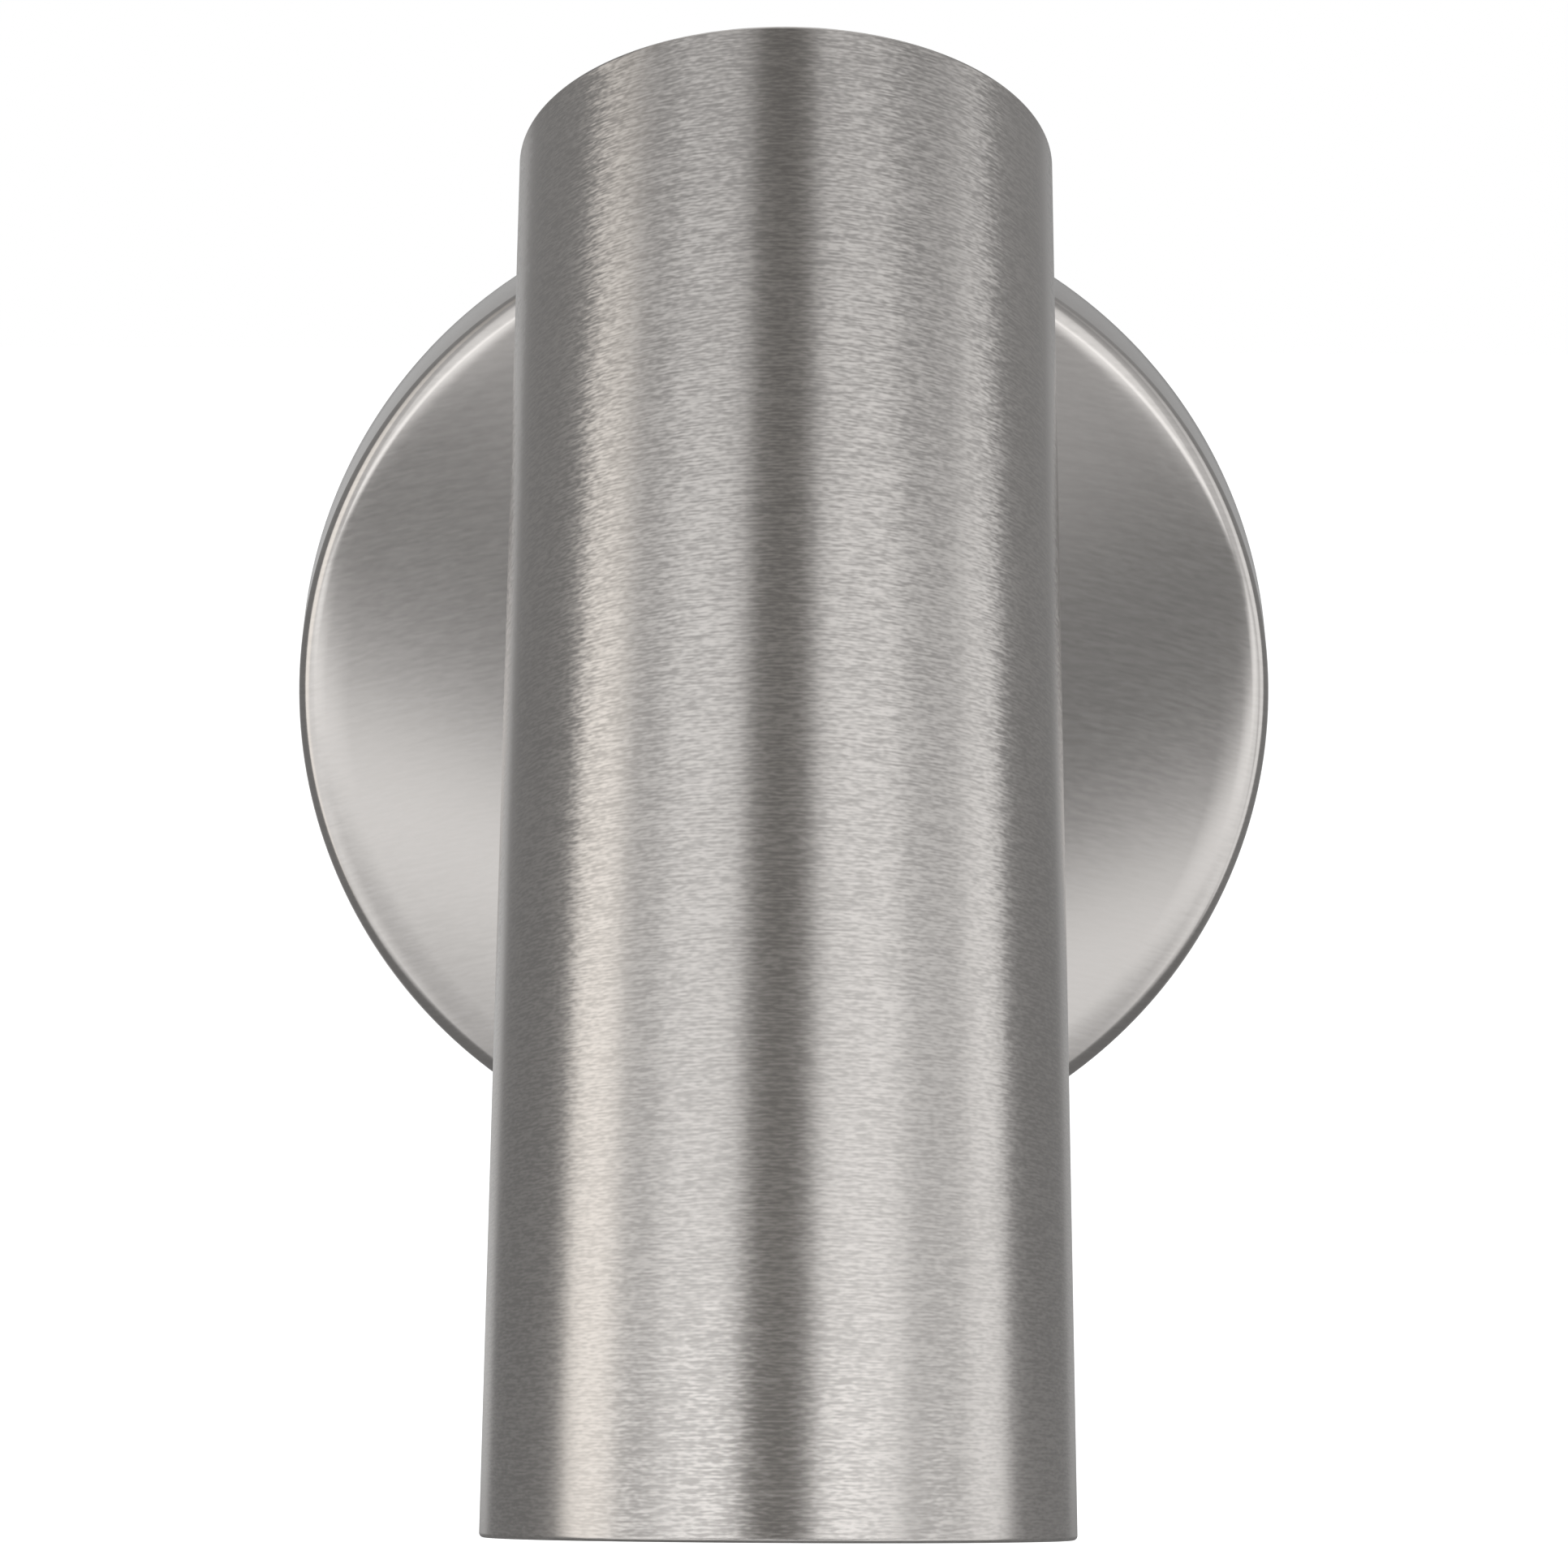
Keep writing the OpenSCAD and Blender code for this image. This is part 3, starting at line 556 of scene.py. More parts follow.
nickel_satin = plain_paint("nickel_satin", (0.62, 0.595, 0.57), 0.025, (0.22, 0.28),
                           metallic=1.0, grain=(1800, 1800, 1800), bump=3e-7)
zinc = plain_paint("zinc_steel", (0.60, 0.62, 0.65), 0.05, (0.26, 0.38),
                   metallic=1.0, bump=1e-6, light=(0.66, 0.66, 0.63))
green_steel = plain_paint("green_steel", (0.05, 0.32, 0.12), 0.12, (0.28, 0.40), metallic=0.6)
brass = plain_paint("pin_brass", (0.80, 0.68, 0.40), 0.06, (0.20, 0.32),
                    metallic=1.0, grain=(300, 300, 1600), bump=2e-6)
nylon = plain_paint("nylon", (0.84, 0.82, 0.75), 0.03, (0.42, 0.55), grain=(500, 500, 500))
fibre = plain_paint("friction_fibre", (0.15, 0.13, 0.12), 0.30, (0.65, 0.85),
                    grain=(2200, 500, 2200), bump=1e-5)
INSULATION = {
    name: plain_paint(name + "_insulation", colour, spread, rough, grain=(260, 900, 900), bump=2e-6)
    for name, colour, spread, rough in (
        ("black", (0.028, 0.028, 0.030), 0.20, (0.34, 0.48)),
        ("white", (0.80, 0.80, 0.78), 0.03, (0.36, 0.50)),
        ("green", (0.06, 0.34, 0.13), 0.10, (0.34, 0.48)))}
connector_plastic = plain_paint("connector_plastic", (0.80, 0.33, 0.06), 0.05, (0.40, 0.52),
                                grain=(800, 800, 800), bump=5e-6)
ceramic = plain_paint("glazed_ceramic", (0.84, 0.83, 0.79), 0.025, (0.10, 0.20),
                      grain=(180, 180, 180), bump=8e-6, Coat_Weight=0.6, Coat_Roughness=0.06)
lamp_plastic = plain_paint("lamp_plastic", (0.82, 0.82, 0.80), 0.02, (0.36, 0.46))
lamp_coating = plain_paint("lamp_coating", (0.84, 0.84, 0.83), 0.02, (0.28, 0.38),
                           grain=(400, 400, 400), bump=4e-6, Coat_Weight=0.25, Coat_Roughness=0.2)
lens = lens_glass()


def finish_piece(o, material, body, slot, *nodes):
    o.data.materials.clear()
    o.data.materials.append(material)
    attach(o, body)
    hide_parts(*nodes)


def finish_zinc(o, body, node):
    finish_piece(o, zinc, body, "zinc_steel", node)


def finish_nickel(o, material, body, node):
    finish_piece(o, material, body, "brushed_nickel", node)


def wire(node, colour, body, path, place):
    """An insulated lead along a path."""
    finish_piece(sweep(node + "_wire", path, LEAD_R, place), INSULATION[colour], body,
                 colour + "_insulation", node)


# Pieces. Outlines are (radius or x, height or y, rounding) in mm.
tube = lathe("shade_tube_brushed", [
    (TUBE_BORE_R, 0, 0.25), (TUBE_R, 0, 0.45), (TUBE_R, TUBE_LENGTH, 0.45),
    (TUBE_BORE_R, TUBE_LENGTH, 0.25)], HEAD, 192)
carve(tube, rod(NECK_HOLE, 0, 30, NECK))
finish_nickel(tube, nickel_tube, "head", "shade_tube")

canopy = lathe("canopy_brushed", [
    (7.0, CANOPY_BACK), (7.0, CANOPY_FRONT), (57.6, CANOPY_FRONT, 60),
    (CANOPY_R - 14.95 * CANOPY_DRAFT, 14.95, 2.7), (CANOPY_R, 0, 0.3), (CANOPY_BORE_R, 0),
    (CANOPY_BORE_R - CANOPY_BACK * CANOPY_DRAFT, CANOPY_BACK, 1.2)], WALL, 256)
carve(canopy, *[rod(2.3, 10, 20, place) for place in STUDS], rod(1.05, 10, 20, STOP, 32))
finish_nickel(canopy, nickel_plate, "base", "canopy")

# Behind the canopy: bar, screws, nuts, connectors and leads.
BAR_DEPTH = 2
bar = prism("mounting_bar_steel", slot_shape((-10, 10), (-56, 56), 10), 0, BAR_DEPTH, WALL)
carve(bar, rod(5.25, -1, 3, WALL), *[rod(M4_HOLE, -1, 3, place, 48) for place in (*STUDS, GROUND)],
      *[cut_shape(slot_shape((-2.4, 2.4), (-7, 7), 2.4), -1, 3, WALL @ at(0, s * SLOT_OFF, 0))
        for s in (-1, 1)])
finish_zinc(soften(bar, 0.25), "base", "mounting_bar")

screw = lathe("ground_screw_green", [
    (0, 0), *grooved(M4, 0, 3.95, M4_PITCH), (3.6, 3.95, 0.2), (3.6, 5.95, 0.7), (0, 5.95)],
    GROUND, 96)
cut_thread(screw, M4, 0, 3.95, M4_PITCH, 0.3)
carve(screw, cut_shape(box((-5, 5), (-0.5, 0.5)), 4.95, 7, GROUND))
finish_piece(screw, green_steel, "base", "green_steel", "ground_screw")

STUD_END = 19.2
studs = []
for place in STUDS:
    stud = lathe("stud", [(0, 0), *grooved(M4, 0, STUD_END, M4_PITCH), (0, STUD_END)], place, 48)
    studs.append(cut_thread(stud, M4, 0, STUD_END, M4_PITCH, 0.28))
finish_zinc(join("canopy_studs_threaded", WALL, *studs), "base", "canopy_studs")
nuts = [hex_nut("stud_nut", 7, M4_HOLE, BAR_DEPTH, 4.4, place) for place in STUDS]
finish_zinc(join("stud_nuts_hexagon", WALL, *nuts), "base", "stud_nuts")

DOME_R, DOME_FOOT = 4, 19.7
turns = [math.radians(a) for a in range(0, 90, 6)]
dome = [(DOME_R * math.cos(t), DOME_FOOT + DOME_R * math.sin(t)) for t in turns]
nuts = [lathe("cap_nut", [
    (0, DOME_FOOT), (M4_HOLE, DOME_FOOT), (M4_HOLE, CANOPY_FRONT, 0.3), (4.5, CANOPY_FRONT, 0.3),
    (4.5, 19.2, 0.35), (DOME_R, 19.2), *dome, (0, DOME_FOOT + DOME_R)], place, 96) for place in STUDS]
finish_nickel(join("cap_nuts_domed", WALL, *nuts), nickel_satin, "base", "cap_nuts")

bush = lathe("swivel_bush_flanged", [
    (M10_HOLE, 12.6, 0.2), (9, 12.6, 0.25), (9, CANOPY_BACK, 0.15), (6.95, CANOPY_BACK),
    (6.95, 15.3, 0.2), (M10_HOLE, 15.3, 0.2)], WALL, 96)
finish_piece(bush, nylon, "base", "nylon", "swivel_bush")
ring = washer("friction_washer_ring", 7, 9, CANOPY_FRONT, 16, WALL)
finish_piece(ring, nylon, "base", "nylon", "friction_washer")
pin = lathe("stop_pin_turned", [
    (0, 13.4), (1.3, 13.4, 0.15), (1.3, CANOPY_BACK, 0.1), (1, CANOPY_BACK), (1, 17, 0.45), (0, 17)],
    STOP, 48)
finish_zinc(pin, "base", "stop_pin")


def connector(place):
    """Twist-on connector: fluted cone with two wings and a tapered bore."""
    length, foot_r, taper = 20, 4.2, 1.4
    steps = [(foot_r - taper * z / length, z) for z in (6.5, 7.5, 9, 11, 13, 15, 17, 18)]
    cone = lathe("connector", [
        (0, 12), (1.1, 12), (3.3, 0, 0.2), (foot_r, 0, 0.35), *steps,
        (foot_r - taper, length, 0.9), (0, length)], place, 120)
    flute(cone, 14, 0.45, 7, 17.5, 2.6)
    wings = prism("wings", [(-5.2, 0, 0.5), (5.2, 0, 0.5), (5.2, 6, 1.5), (-5.2, 6, 1.5)], -0.8, 0.8,
                  place @ spin(90, "X"))
    bore = lathe("cutter", [(0, -1), (3.35, -1), (3.3, 0), (1.2, 11.9), (0, 11.9)], place, 64)
    return carve(cone, carve(soften(wings, 0.25), bore), operation="UNION")


LEAD_UP, LEAD_DEEP = 1.3, 4.4      # the base leads, from the centre and from the wall
connectors = []
for s, up in ((-1, LEAD_UP), (1, -LEAD_UP), (-1, GROUND_UP)):
    place = WALL @ at(s * 14, up, LEAD_DEEP) @ spin(s * 90, "Y") @ spin(90, "Z")
    connectors.append(connector(place))
finish_piece(join("wire_connectors_ribbed", WALL, *connectors), connector_plastic, "base",
             "connector_plastic", "wire_connectors")
for node, colour, s in (("line_lead_base", "black", 1), ("neutral_lead_base", "white", -1)):
    y = s * LEAD_UP
    path = [(-1.5, y, 6.4), (-1.5, y, LEAD_DEEP, 2), (-s * 25.5, y, LEAD_DEEP)]
    wire(node, colour, "base", path, WALL)
ground = join("ground_lead_wire", WALL, washer("terminal", M4_HOLE, 3.4, BAR_DEPTH, 3.9, GROUND, 0.2),
              sweep("wire", [(-2.9, GROUND_UP, 2.95), (-18, GROUND_UP, 2.95)], LEAD_R, WALL))
finish_piece(ground, INSULATION["green"], "base", "green_insulation", "ground_lead")

# The stem, its friction stack and its half of the knuckle.
FILLET = 2
turns = [math.radians(a) for a in range(0, 91, 10)]
fillet = [(STEM_R + FILLET - FILLET * math.sin(t), FLANGE_FRONT + FILLET - FILLET * math.cos(t))
          for t in turns]
THREAD_DEPTH = 0.4
BACK_THREAD, FRONT_THREAD = STEM_THREADS
stem = lathe("arm_stem_turned", [
    (WAY_R, BACK_THREAD[0], 0.3), *grooved(M10, *BACK_THREAD, M10_PITCH), (M10, 16.05), (9.3, 16.05),
    (9.3, FLANGE_BACK, 0.2), (FLANGE_R, FLANGE_BACK, 0.3), (FLANGE_R, FLANGE_FRONT, 0.5), *fillet,
    (STEM_R, FRONT_THREAD[0], 0.25), *grooved(M10, *FRONT_THREAD, M10_PITCH),
    (WAY_R, FRONT_THREAD[1], 0.3)], WALL, 160)
for thread in STEM_THREADS:
    cut_thread(stem, M10, *thread, M10_PITCH, THREAD_DEPTH)
carve(stem, lathe("cutter", box((9.1, 11.7), (14, 17.3)), WALL, 96, (-81.5, 261.5)))
finish_nickel(stem, nickel_turned, "stem", "arm_stem")
spring = lathe("disc_spring_cone", [
    (5.3, 11.6, 0.12), (8.7, 12.1, 0.12), (8.7, 12.6, 0.12), (5.3, 12.1, 0.12)], WALL, 96)
finish_zinc(spring, "stem", "disc_spring")
finish_zinc(washer("swivel_washer_ring", M10_HOLE, 8, 10.6, 11.6, WALL), "stem", "swivel_washer")
finish_zinc(hex_nut("swivel_nut_hexagon", 14, M10_HOLE, 7, 10.6, WALL), "stem", "swivel_nut")


def knuckle_half(name, side, axis_place, rod_place, rods, ways):
    """Hollow drum on one side of the tilt axis, with its round foot."""
    def along(a, b, r, segments=128):
        return rod(r, min(side * a, side * b), max(side * a, side * b), axis_place, segments)

    low, high = sorted((side * DRUM_GAP, side * DRUM_FACE))
    drum = lathe(name, [(0, low), (DRUM_R, low, 0.5), (DRUM_R, high, 0.5), (0, high)], axis_place, 160)
    foot = rods[0]
    carve(foot, along(DRUM_GAP, -10.5, 9.4))
    carve(drum, foot, *rods[1:], operation="UNION")
    carve(drum, along(-0.6, 6.3, 6.6))
    way = rod(WAY_R, 0, ways, rod_place)
    half = cut_shape(box((0.4, 7), (-4, 4)), -1, ways + 1, rod_place)
    if side < 0:
        half.data.transform(Matrix.Scale(-1, 4, (1, 0, 0)))
    carve(way, half, operation="INTERSECT")
    carve(drum, way, rod(WAY_R, 8.6, ways, rod_place), along(-1, 11, M4_HOLE, 48))
    return drum


foot = lathe("foot", [(0, 0), (STEM_R, 0), (STEM_R, 15.4, 0.25), (0, 15.4)], STEM_ROD, 128)
stem_half = knuckle_half("stem_knuckle_half", -1, KNUCKLE, STEM_ROD, [foot], 17)
carve(stem_half, rod(M10_HOLE, 10.4, 17, STEM_ROD), cut_shape(hexagon(7.1), -11, NUT_FACE, KNUCKLE))
finish_nickel(stem_half, nickel_turned, "stem", "stem_knuckle")
disc = washer("knuckle_disc_ring", 6.65, 8.7, -DRUM_GAP, DISC_TOP, KNUCKLE, 0.1)
finish_piece(disc, fibre, "stem", "friction_fibre", "knuckle_disc")
SCREW_THREAD = (-10.7, -3)
screw = lathe("knuckle_screw_socket", [
    (0, SCREW_THREAD[0]), *grooved(M4, *SCREW_THREAD, M4_PITCH), (M4, SCREW_SEAT), (3.5, SCREW_SEAT, 0.15),
    (3.5, 9.7), (3.5, 11.2), (3.5, 11.7, 0.4), (0, 11.7)], KNUCKLE, 144)
cut_thread(screw, M4, *SCREW_THREAD, M4_PITCH, 0.3)
flute(screw, 30, 0.12, 9.6, 11.25, 3.4)
carve(screw, cut_shape(hexagon(2.9 * math.cos(math.pi / 6)), 10.3, 13, KNUCKLE))
finish_zinc(screw, "stem", "knuckle_screw")
split = lathe("spring_washer_split", slot_shape((2.2, 3.5), (WASHER_FACE, SCREW_SEAT), 0.12),
              KNUCKLE, 72, (6, 354))
finish_zinc(split, "stem", "spring_washer")
nut = hex_nut("knuckle_nut_hexagon", 7, M4_HOLE, -11.1, NUT_FACE, KNUCKLE)
finish_zinc(nut, "stem", "knuckle_nut")
for node, colour, y in (("line_lead_stem", "black", LEAD_UP), ("neutral_lead_stem", "white", -LEAD_UP)):
    wire(node, colour, "stem", [(-1.5, y, 6.7), (-1.5, y, 38.25, 1.2), (-0.3, y, 38.25)], WALL)

# The head's half of the knuckle, and what holds the tube and the lampholder.
foot = lathe("foot", [(0, 0), (STEM_R, 0), (STEM_R, 11.5, 0.25), (0, 11.5)], HEAD_ROD, 128)
neck = lathe("neck", [
    (0, 10.45), (M10, 10.45), *grooved(M10, *NECK_THREAD, M10_PITCH), (0, NECK_THREAD[1])], HEAD_ROD, 96)
cut_thread(neck, M10, *NECK_THREAD, M10_PITCH, THREAD_DEPTH)
head_half = knuckle_half("head_knuckle_half", 1, HEAD_KNUCKLE, HEAD_ROD, [foot, neck], 25)
carve(head_half, rod(3.8, WASHER_FACE, 10.5, HEAD_KNUCKLE))
finish_nickel(head_half, nickel_turned, "head", "head_knuckle")

saddle = lathe("saddle_washer_curved", [
    (NECK_HOLE, 20), (8.5, 20), (8.5, 30, 0.4), (NECK_HOLE, 30, 0.2)], NECK, 160)
carve(saddle, rod(TUBE_R + 0.05, 60, 120, HEAD, 256))
finish_nickel(saddle, nickel_satin, "head", "saddle_washer")
ring = washer("neck_washer_ring", M10_HOLE, 7.5, NECK_NUT_TOP, 22.69, NECK)
finish_zinc(ring, "head", "neck_washer")
nut = hex_nut("neck_nut_hexagon", 14, M10_HOLE, NECK_NUT_FOOT, NECK_NUT_TOP, NECK)
finish_zinc(nut, "head", "neck_nut")

bracket = prism("socket_bracket_bent", [
    (-13.5, HOLDER_TOP), (24.19, HOLDER_TOP, 2), (24.19, 97.38), (22.69, 97.38),
    (22.69, PLATE_TOP, 0.5), (-13.5, PLATE_TOP)], -12, 12, HEAD @ SIDE)
carve(bracket, rod(NECK_HOLE, 15, 30, NECK), rod(3.6, 70, 90, HOLDER_WAY),
      *[rod(M3_HOLE, 70, 90, place, 48) for place in HOLDER_SCREWS])
finish_zinc(soften(bracket, 0.2), "head", "socket_bracket")

holder = lathe("lamp_socket_ceramic", [
    (0, HOLDER_FOOT), (12.5, HOLDER_FOOT, 0.8), (12.5, HOLDER_TOP, 0.8), (0, HOLDER_TOP)], HEAD, 128)
carve(holder, rod(3.6, 73.4, 80, HOLDER_WAY),
      *[rod(M3_HOLE, 72.9, 80, place, 48) for place in HOLDER_SCREWS])
for turn in (0, 180):
    here = HEAD @ spin(turn, "Z") @ at(5, 0, 0)
    carve(holder, cut_shape(slot_shape((-1.6, 1.6), (-1.6, 4.6), 1.6), 61, 66, here),
          cut_shape(slot_shape((-2.7, 2.7), (-2.7, 5.7), 2.7), 65.4, 70.4, here),
          rod(3, 61, 66, here @ at(0, 3, 0)))
finish_piece(holder, ceramic, "head", "glazed_ceramic", "lamp_socket")
screws = []
for here in HOLDER_SCREWS:
    screw = lathe("socket_screw", [
        (0, 72.9), *grooved(M3, 72.9, HOLDER_TOP, M3_PITCH), (M3, PLATE_TOP), (2.7, PLATE_TOP, 0.1),
        (2.7, 81.7, 0.9), (0, 81.7)], here, 64)
    cut_thread(screw, M3, 72.9, HOLDER_TOP, M3_PITCH, 0.2)
    screws.append(carve(screw, cut_shape(box((-4, 4), (-0.35, 0.35)), 80.9, 83, here)))
finish_zinc(join("socket_screws_slotted", HEAD, *screws), "head", "socket_screws")

# The twist-lock lamp.
base = lathe("lamp_base_moulded", [
    (0, LAMP_NECK), (15, LAMP_NECK), (14.3, 51.5), (14.1, 51.7), (14.1, 52.3), (14.0, 52.5),
    (12, BASE_TOP, 0.6), (0, BASE_TOP)], HEAD, 128)
finish_piece(base, lamp_plastic, "head", "lamp_plastic", "lamp_base")
pins = [lathe("pin", [
    (0, BASE_TOP), (1.3, BASE_TOP), (1.3, 65.6, 0.1), (2.4, 65.6, 0.2), (2.4, 69, 0.6), (0, 69)],
    HEAD @ at(s * 5, 0, 0), 48) for s in (-1, 1)]
finish_piece(join("lamp_pins_turned", HEAD, *pins), brass, "head", "pin_brass", "lamp_pins")
BOWL_R, BOWL_TOP, BOWL_DEPTH = 19.5, 22.8, 5
turns = [math.radians(a) for a in range(9, 90, 9)]
bowl = [(BOWL_R * math.sin(t), BOWL_TOP - BOWL_DEPTH * (1 - math.cos(t))) for t in turns]
housing = lathe("lamp_housing_reflector", [
    (0, BOWL_TOP), *bowl, (BOWL_R, LENS_BACK), (21.5, LENS_BACK), (21.5, LENS_FRONT), (22.5, 15.2, 0.2),
    (25, 15.2, 0.6), (25, 23.2, 1.5), (15.4, 47.2), (15, LAMP_NECK), (0, LAMP_NECK)], HEAD, 160)
finish_piece(housing, lamp_coating, "head", "lamp_coating", "lamp_housing")
facets = [(r + dr, LENS_FRONT + dz) for r in range(3, 19, 2) for dr, dz in ((0, 0.45), (1.85, 0))]
glass = lathe("lamp_lens_ringed", [
    (0, 16.35), (2.6, LENS_FRONT), *facets, (19.4, LENS_FRONT), (21.45, LENS_FRONT, 0.3),
    (21.45, LENS_BACK, 0.2), (0, LENS_BACK)], HEAD, 160)
shade(glass, 12)
finish_piece(glass, lens, "head", "lens", "lamp_lens")

cap = lathe("end_cap_vented", [
    (26.05, 133, 0.2), (27.25, 133, 0.2), (27.25, CAP_TOP, 0.8), (0, CAP_TOP), (0, CAP_INNER),
    (26.05, CAP_INNER, 0.4)], HEAD, 192)
for turn in range(0, 360, 45):
    carve(cap, cut_shape(slot_shape((7.8, 23.25), (-1.2, 1.2), 1.2), 138, 143, HEAD @ spin(turn, "Z")))
finish_nickel(cap, nickel_turned, "head", "end_cap")
for node, colour, s in (("line_lead_head", "black", -1), ("neutral_lead_head", "white", 1)):
    y, z = -2 * s, NECK_UP + LEAD_UP * s
    path = [(1.5, y, 73.4), (1.5, y, z, 3), (1.5, 37.65, z, 1.2), (0.3, 37.65, z)]
    wire(node, colour, "head", path, HEAD)

# Stage, lamps and camera.
WHITE = (1, 1, 1)
WORLD_LEVEL = 0.85
FLOOR_HALF, FLOOR_TONE, FLOOR_GLOW = 6, (0.8, 0.8, 0.8), 0.6


def white_when_seen(tree, lit, seen):
    """Mixes shader lit with shader seen, which camera, glossy and transmission rays meet."""
    path = tree.nodes.new("ShaderNodeLightPath")
    met = path.outputs["Is Camera Ray"]
    for kind in ("Is Glossy Ray", "Is Transmission Ray"):
        either = tree.nodes.new("ShaderNodeMath")
        either.operation = "MAXIMUM"
        tree.links.new(met, either.inputs[0])
        tree.links.new(path.outputs[kind], either.inputs[1])
        met = either.outputs[0]
    mix = tree.nodes.new("ShaderNodeMixShader")
    tree.links.new(met, mix.inputs[0])
    tree.links.new(lit.outputs[0], mix.inputs[1])
    tree.links.new(seen.outputs[0], mix.inputs[2])
    return mix.outputs[0]


world = bpy.data.worlds.new("studio")
bpy.context.scene.world = world
world.use_nodes = True
tree = world.node_tree
tree.nodes.clear()
lit, seen = (tree.nodes.new("ShaderNodeBackground") for _ in range(2))
lit.inputs["Strength"].default_value = WORLD_LEVEL
seen.inputs["Color"].default_value = (*WHITE, 1)
out = tree.nodes.new("ShaderNodeOutputWorld")
tree.links.new(white_when_seen(tree, lit, seen), out.inputs["Surface"])

floor_bm = bmesh.new()
bmesh.ops.create_grid(floor_bm, x_segments=8, y_segments=8, size=FLOOR_HALF)
floor = new_object("floor", floor_bm, Matrix.Translation((0, 0, FLOOR_Z)))
paint = bpy.data.materials.new("floor_paint")
paint.use_nodes = True
tree = paint.node_tree
tree.nodes.clear()
plain = tree.nodes.new("ShaderNodeBsdfDiffuse")
plain.inputs["Color"].default_value = (*FLOOR_TONE, 1)
glow = tree.nodes.new("ShaderNodeEmission")
glow.inputs["Strength"].default_value = FLOOR_GLOW
both = tree.nodes.new("ShaderNodeAddShader")
tree.links.new(plain.outputs[0], both.inputs[0])
tree.links.new(glow.outputs[0], both.inputs[1])
out = tree.nodes.new("ShaderNodeOutputMaterial")
tree.links.new(white_when_seen(tree, plain, both), out.inputs["Surface"])
floor.data.materials.append(paint)

# The light tent, a lit shell that only reflections see. Its angles are in degrees.
MID = Vector((0, -0.07, 0.01))
TENT_R = 1.5
TENT_COLUMNS, TENT_ROWS = 180, 120
FLOOR_GAP = 0.01
AXIS = HEAD.to_3x3() @ Vector((0, 0, 1))
OUT = HEAD.to_3x3() @ Vector((0, -1, 0))

# Bands by the angle round the tube: 0 straight out from it, positive to the right. Each is (start, end,
# foot, lit level, dim level, tint). It is lit along the tube from foot, and its light falls off slowly
# round LIT_TOP.
PLAIN, WARM = WHITE, (1.03, 1.0, 0.96)
BANDS = [
    (-190, -144, -60, 0.58, 0.42, PLAIN),
    (-144, -87, -60, 0.22, 0.28, PLAIN),
    (-87, -64, -40, 1.18, 0.40, WARM),
    (-64, -46, -24, 0.64, 0.34, PLAIN),
    (-46, -14, -20, 0.95, 0.44, PLAIN),
    (-14, 12.5, -60, 0.18, 0.14, WARM),
    (12.5, 47, -20, 1.01, 0.44, PLAIN),
    (47, 75, -24, 0.68, 0.30, PLAIN),
    (75, 95, -40, 1.00, 0.40, PLAIN),
    (95, 146, -60, 0.24, 0.32, PLAIN),
    (146, 190, -60, 0.42, 0.38, PLAIN),
]
LIT_TOP, FALL_OFF = 29, 54
BAND_EDGE, FOOT_EDGE = 5, 8

# Two bright patches low beside the middle band, the tent's top end, and its floor.
PATCH_ROUND, PATCH_DOWN, PATCH_EDGE, PATCH_LEVEL = (14, 47), (13, 36), 6, 1.5
TOP_RAMP, TOP_LEVEL = (66, 14), 0.8
FLOOR_RAMP, FLOOR_LEVEL = (36, 12), 0.2

# What the canopy's face mirrors, by the angle below the horizon: a room that dims, painted shade on the
# right just above the table edge that stands in for the tube's shadow and reflection on the canopy's face,
# the bright table, and what lies nearer. The edge is higher on the left.
FRONT_RAMP, HORIZON_RAMP = (60, 20), (-4, 6)
ROOM_LEVELS, ROOM_RAMP = (0.56, 0.225), (5.2, 6)
EDGE_LIFT, LIFT_REACH, EDGE_SLOPE, FACE_MIDDLE = 2, 6, 0.45, 8.3
LEFT_GAIN, FACE_REACH = 0.015, 9
SHADOW, SHADOW_RAMP, SHADOW_START, SHADOW_END = 0.4, (12.5, 4), (0, 6), (9, 3.5)
TABLE_LEVEL, TABLE_RAMP = 1.2, (16.4, 2)
NEAR_LEVELS, NEAR_SIDE_RAMP, NEAR_RAMP = (0.60, 0.95), (22, 12), (23.2, 5)


def clamp(x, limit):
    return max(-limit, min(limit, x))


def ramp(x, middle, width):
    """Smooth step from 0 to 1."""
    t = min(max((x - middle) / width + 0.5, 0), 1)
    return t * t * (3 - 2 * t)


def window(x, low, high, edge):
    """1 between low and high and 0 outside, with smooth edges."""
    return ramp(x, low, edge) - ramp(x, high, edge)


def lerp(a, b, t):
    return a + (b - a) * t


def grey(level):
    return Vector((level, level, level))


def table_level(across, height):
    """Level of what the canopy's face mirrors."""
    lift = EDGE_LIFT * clamp(across / LIFT_REACH, 1) - EDGE_SLOPE * (abs(across) - FACE_MIDDLE)
    below = -(height + lift)
    level = lerp(*ROOM_LEVELS, ramp(below, *ROOM_RAMP)) * (1 - LEFT_GAIN * clamp(across, FACE_REACH))
    right = ramp(across, *SHADOW_START) * (1 - ramp(across, *SHADOW_END))
    # Painted shade: darker on the right just above the table edge, standing in for the tube's shadow and
    # reflection on the canopy's face.
    level *= 1 - SHADOW * ramp(below, *SHADOW_RAMP) * right
    level = lerp(level, TABLE_LEVEL, ramp(below, *TABLE_RAMP))
    near = lerp(*NEAR_LEVELS, ramp(abs(across), *NEAR_SIDE_RAMP))
    return lerp(level, near, ramp(below, *NEAR_RAMP))


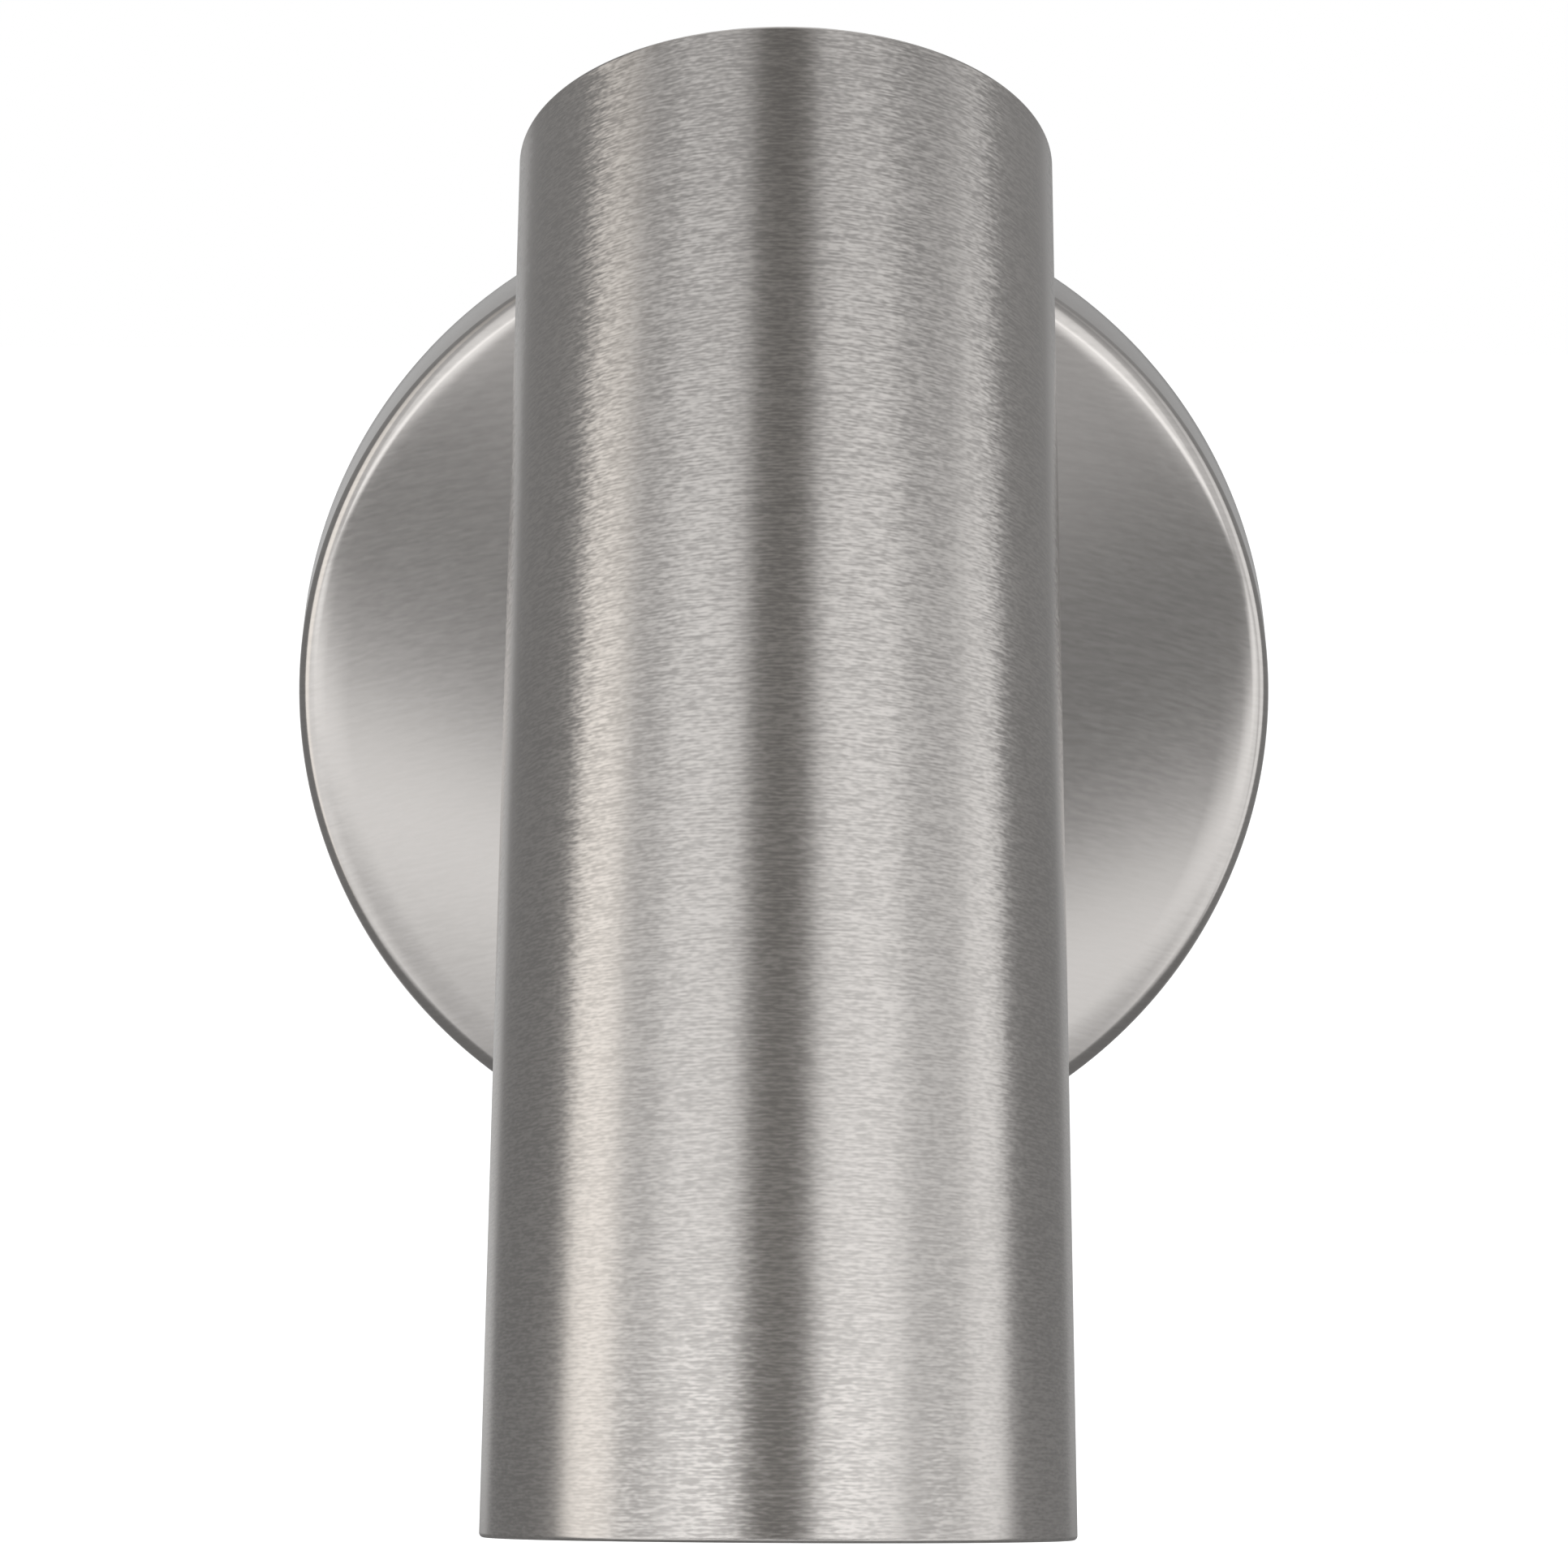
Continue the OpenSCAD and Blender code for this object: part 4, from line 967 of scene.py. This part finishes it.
def tent_glow(direction):
    """Colour of the tent in a direction."""
    azimuth = math.degrees(math.atan2(direction.x, direction.dot(OUT)))
    rise = math.degrees(math.asin(clamp(direction.dot(AXIS), 1)))
    height = math.degrees(math.asin(clamp(direction.z, 1)))
    across = math.degrees(math.atan2(direction.x, -direction.y))
    glow = grey(0)
    for start, end, foot, lit, dim, tint in BANDS:
        inside = window(azimuth, start, end, BAND_EDGE)
        level = lerp(dim, lit, ramp(rise, foot, FOOT_EDGE) - ramp(rise, LIT_TOP, FALL_OFF))
        glow += Vector(tint) * inside * level
    patch = window(abs(azimuth), *PATCH_ROUND, BAND_EDGE) * window(-rise, *PATCH_DOWN, PATCH_EDGE)
    glow = glow.lerp(grey(PATCH_LEVEL), patch)
    glow = glow.lerp(grey(TOP_LEVEL), ramp(rise, *TOP_RAMP))
    front = 1 - ramp(abs(across), *FRONT_RAMP)
    glow = glow.lerp(grey(table_level(across, height)), front * ramp(-height, *HORIZON_RAMP))
    return glow.lerp(grey(FLOOR_LEVEL), ramp(-height, *FLOOR_RAMP))


def light_tent():
    bm = bmesh.new()
    layer = bm.verts.layers.float_color.new("glow")
    rings = []
    for j in range(TENT_ROWS + 1):
        rise = math.pi * (j / TENT_ROWS - 0.5)
        ring = []
        for i in range(TENT_COLUMNS):
            a = 2 * math.pi * i / TENT_COLUMNS
            level = OUT * math.cos(a) + Vector((1, 0, 0)) * math.sin(a)
            d = level * math.cos(rise) + AXIS * math.sin(rise)
            v = bm.verts.new(MID + d * min(TENT_R, (MID.z - FLOOR_Z - FLOOR_GAP) / max(-d.z, 1e-6)))
            v[layer] = (*tent_glow(d), 1)
            ring.append(v)
        rings.append(ring)
    for low, high in zip(rings, rings[1:]):
        for i in range(TENT_COLUMNS):
            j = (i + 1) % TENT_COLUMNS
            bm.faces.new((low[i], low[j], high[j], high[i]))
    bmesh.ops.remove_doubles(bm, verts=bm.verts, dist=1e-4)
    o = new_object("light_tent", bm, Matrix.Identity(4), 180)
    material = bpy.data.materials.new("light_tent")
    material.use_nodes = True
    tree = material.node_tree
    tree.nodes.clear()
    colour = tree.nodes.new("ShaderNodeVertexColor")
    colour.layer_name = "glow"
    glow = tree.nodes.new("ShaderNodeEmission")
    out = tree.nodes.new("ShaderNodeOutputMaterial")
    tree.links.new(colour.outputs["Color"], glow.inputs["Color"])
    tree.links.new(glow.outputs[0], out.inputs["Surface"])
    o.data.materials.append(material)
    for kind in ("camera", "diffuse", "transmission", "volume_scatter", "shadow"):
        setattr(o, "visible_" + kind, False)


def softbox(name, across, height, size, radiance):
    """An area lamp for the surfaces that aren't metal, size degrees wide and high from the lamp."""
    reach = 0.9 * TENT_R
    a, e = math.radians(across), math.radians(height)
    there = Vector((math.sin(a) * math.cos(e), -math.cos(a) * math.cos(e), math.sin(e)))
    data = bpy.data.lights.new(name, "AREA")
    data.shape = "RECTANGLE"
    data.size, data.size_y = (2 * reach * math.tan(math.radians(v) / 2) for v in size)
    data.energy = radiance * math.pi * data.size * data.size_y
    o = bpy.data.objects.new(name, data)
    bpy.context.scene.collection.objects.link(o)
    place = (-there).to_track_quat("-Z", "Y").to_matrix().to_4x4()
    place.translation = MID + there * reach
    o.matrix_world = place
    o.visible_camera = o.visible_glossy = False


light_tent()
softbox("softbox_top", 0, 86, (50, 40), 0.7)
for side in (-1, 1):
    softbox(f"softbox_{side + 1}", side * 38, 30, (30, 30), 1.2)

# The camera, fitted to the photo: its place in metres, and its angles in degrees.
CAMERA_AT = (0.00034, -0.33618, 0.07174)
YAW, PITCH, ROLL = -0.022, -17.895, 0.298
camera_data = bpy.data.cameras.new("camera")
camera_data.sensor_width = 36
camera_data.lens = 58.179
camera_data.shift_y = 0.1108
camera_data.clip_start = 0.01
camera = bpy.data.objects.new("camera", camera_data)
bpy.context.scene.collection.objects.link(camera)
yaw, pitch, roll = (math.radians(a) for a in (YAW, PITCH, ROLL))
forward = Vector((math.sin(yaw) * math.cos(pitch), math.cos(yaw) * math.cos(pitch), math.sin(pitch)))
level = Vector((math.cos(yaw), -math.sin(yaw), 0))
upright = level.cross(forward)
right = level * math.cos(roll) + upright * math.sin(roll)
up = upright * math.cos(roll) - level * math.sin(roll)
turned = Matrix((right, up, -forward)).transposed().to_4x4()
camera.matrix_world = Matrix.Translation(CAMERA_AT) @ turned
bpy.context.scene.camera = camera
bpy.context.scene.view_settings.view_transform = "Standard"
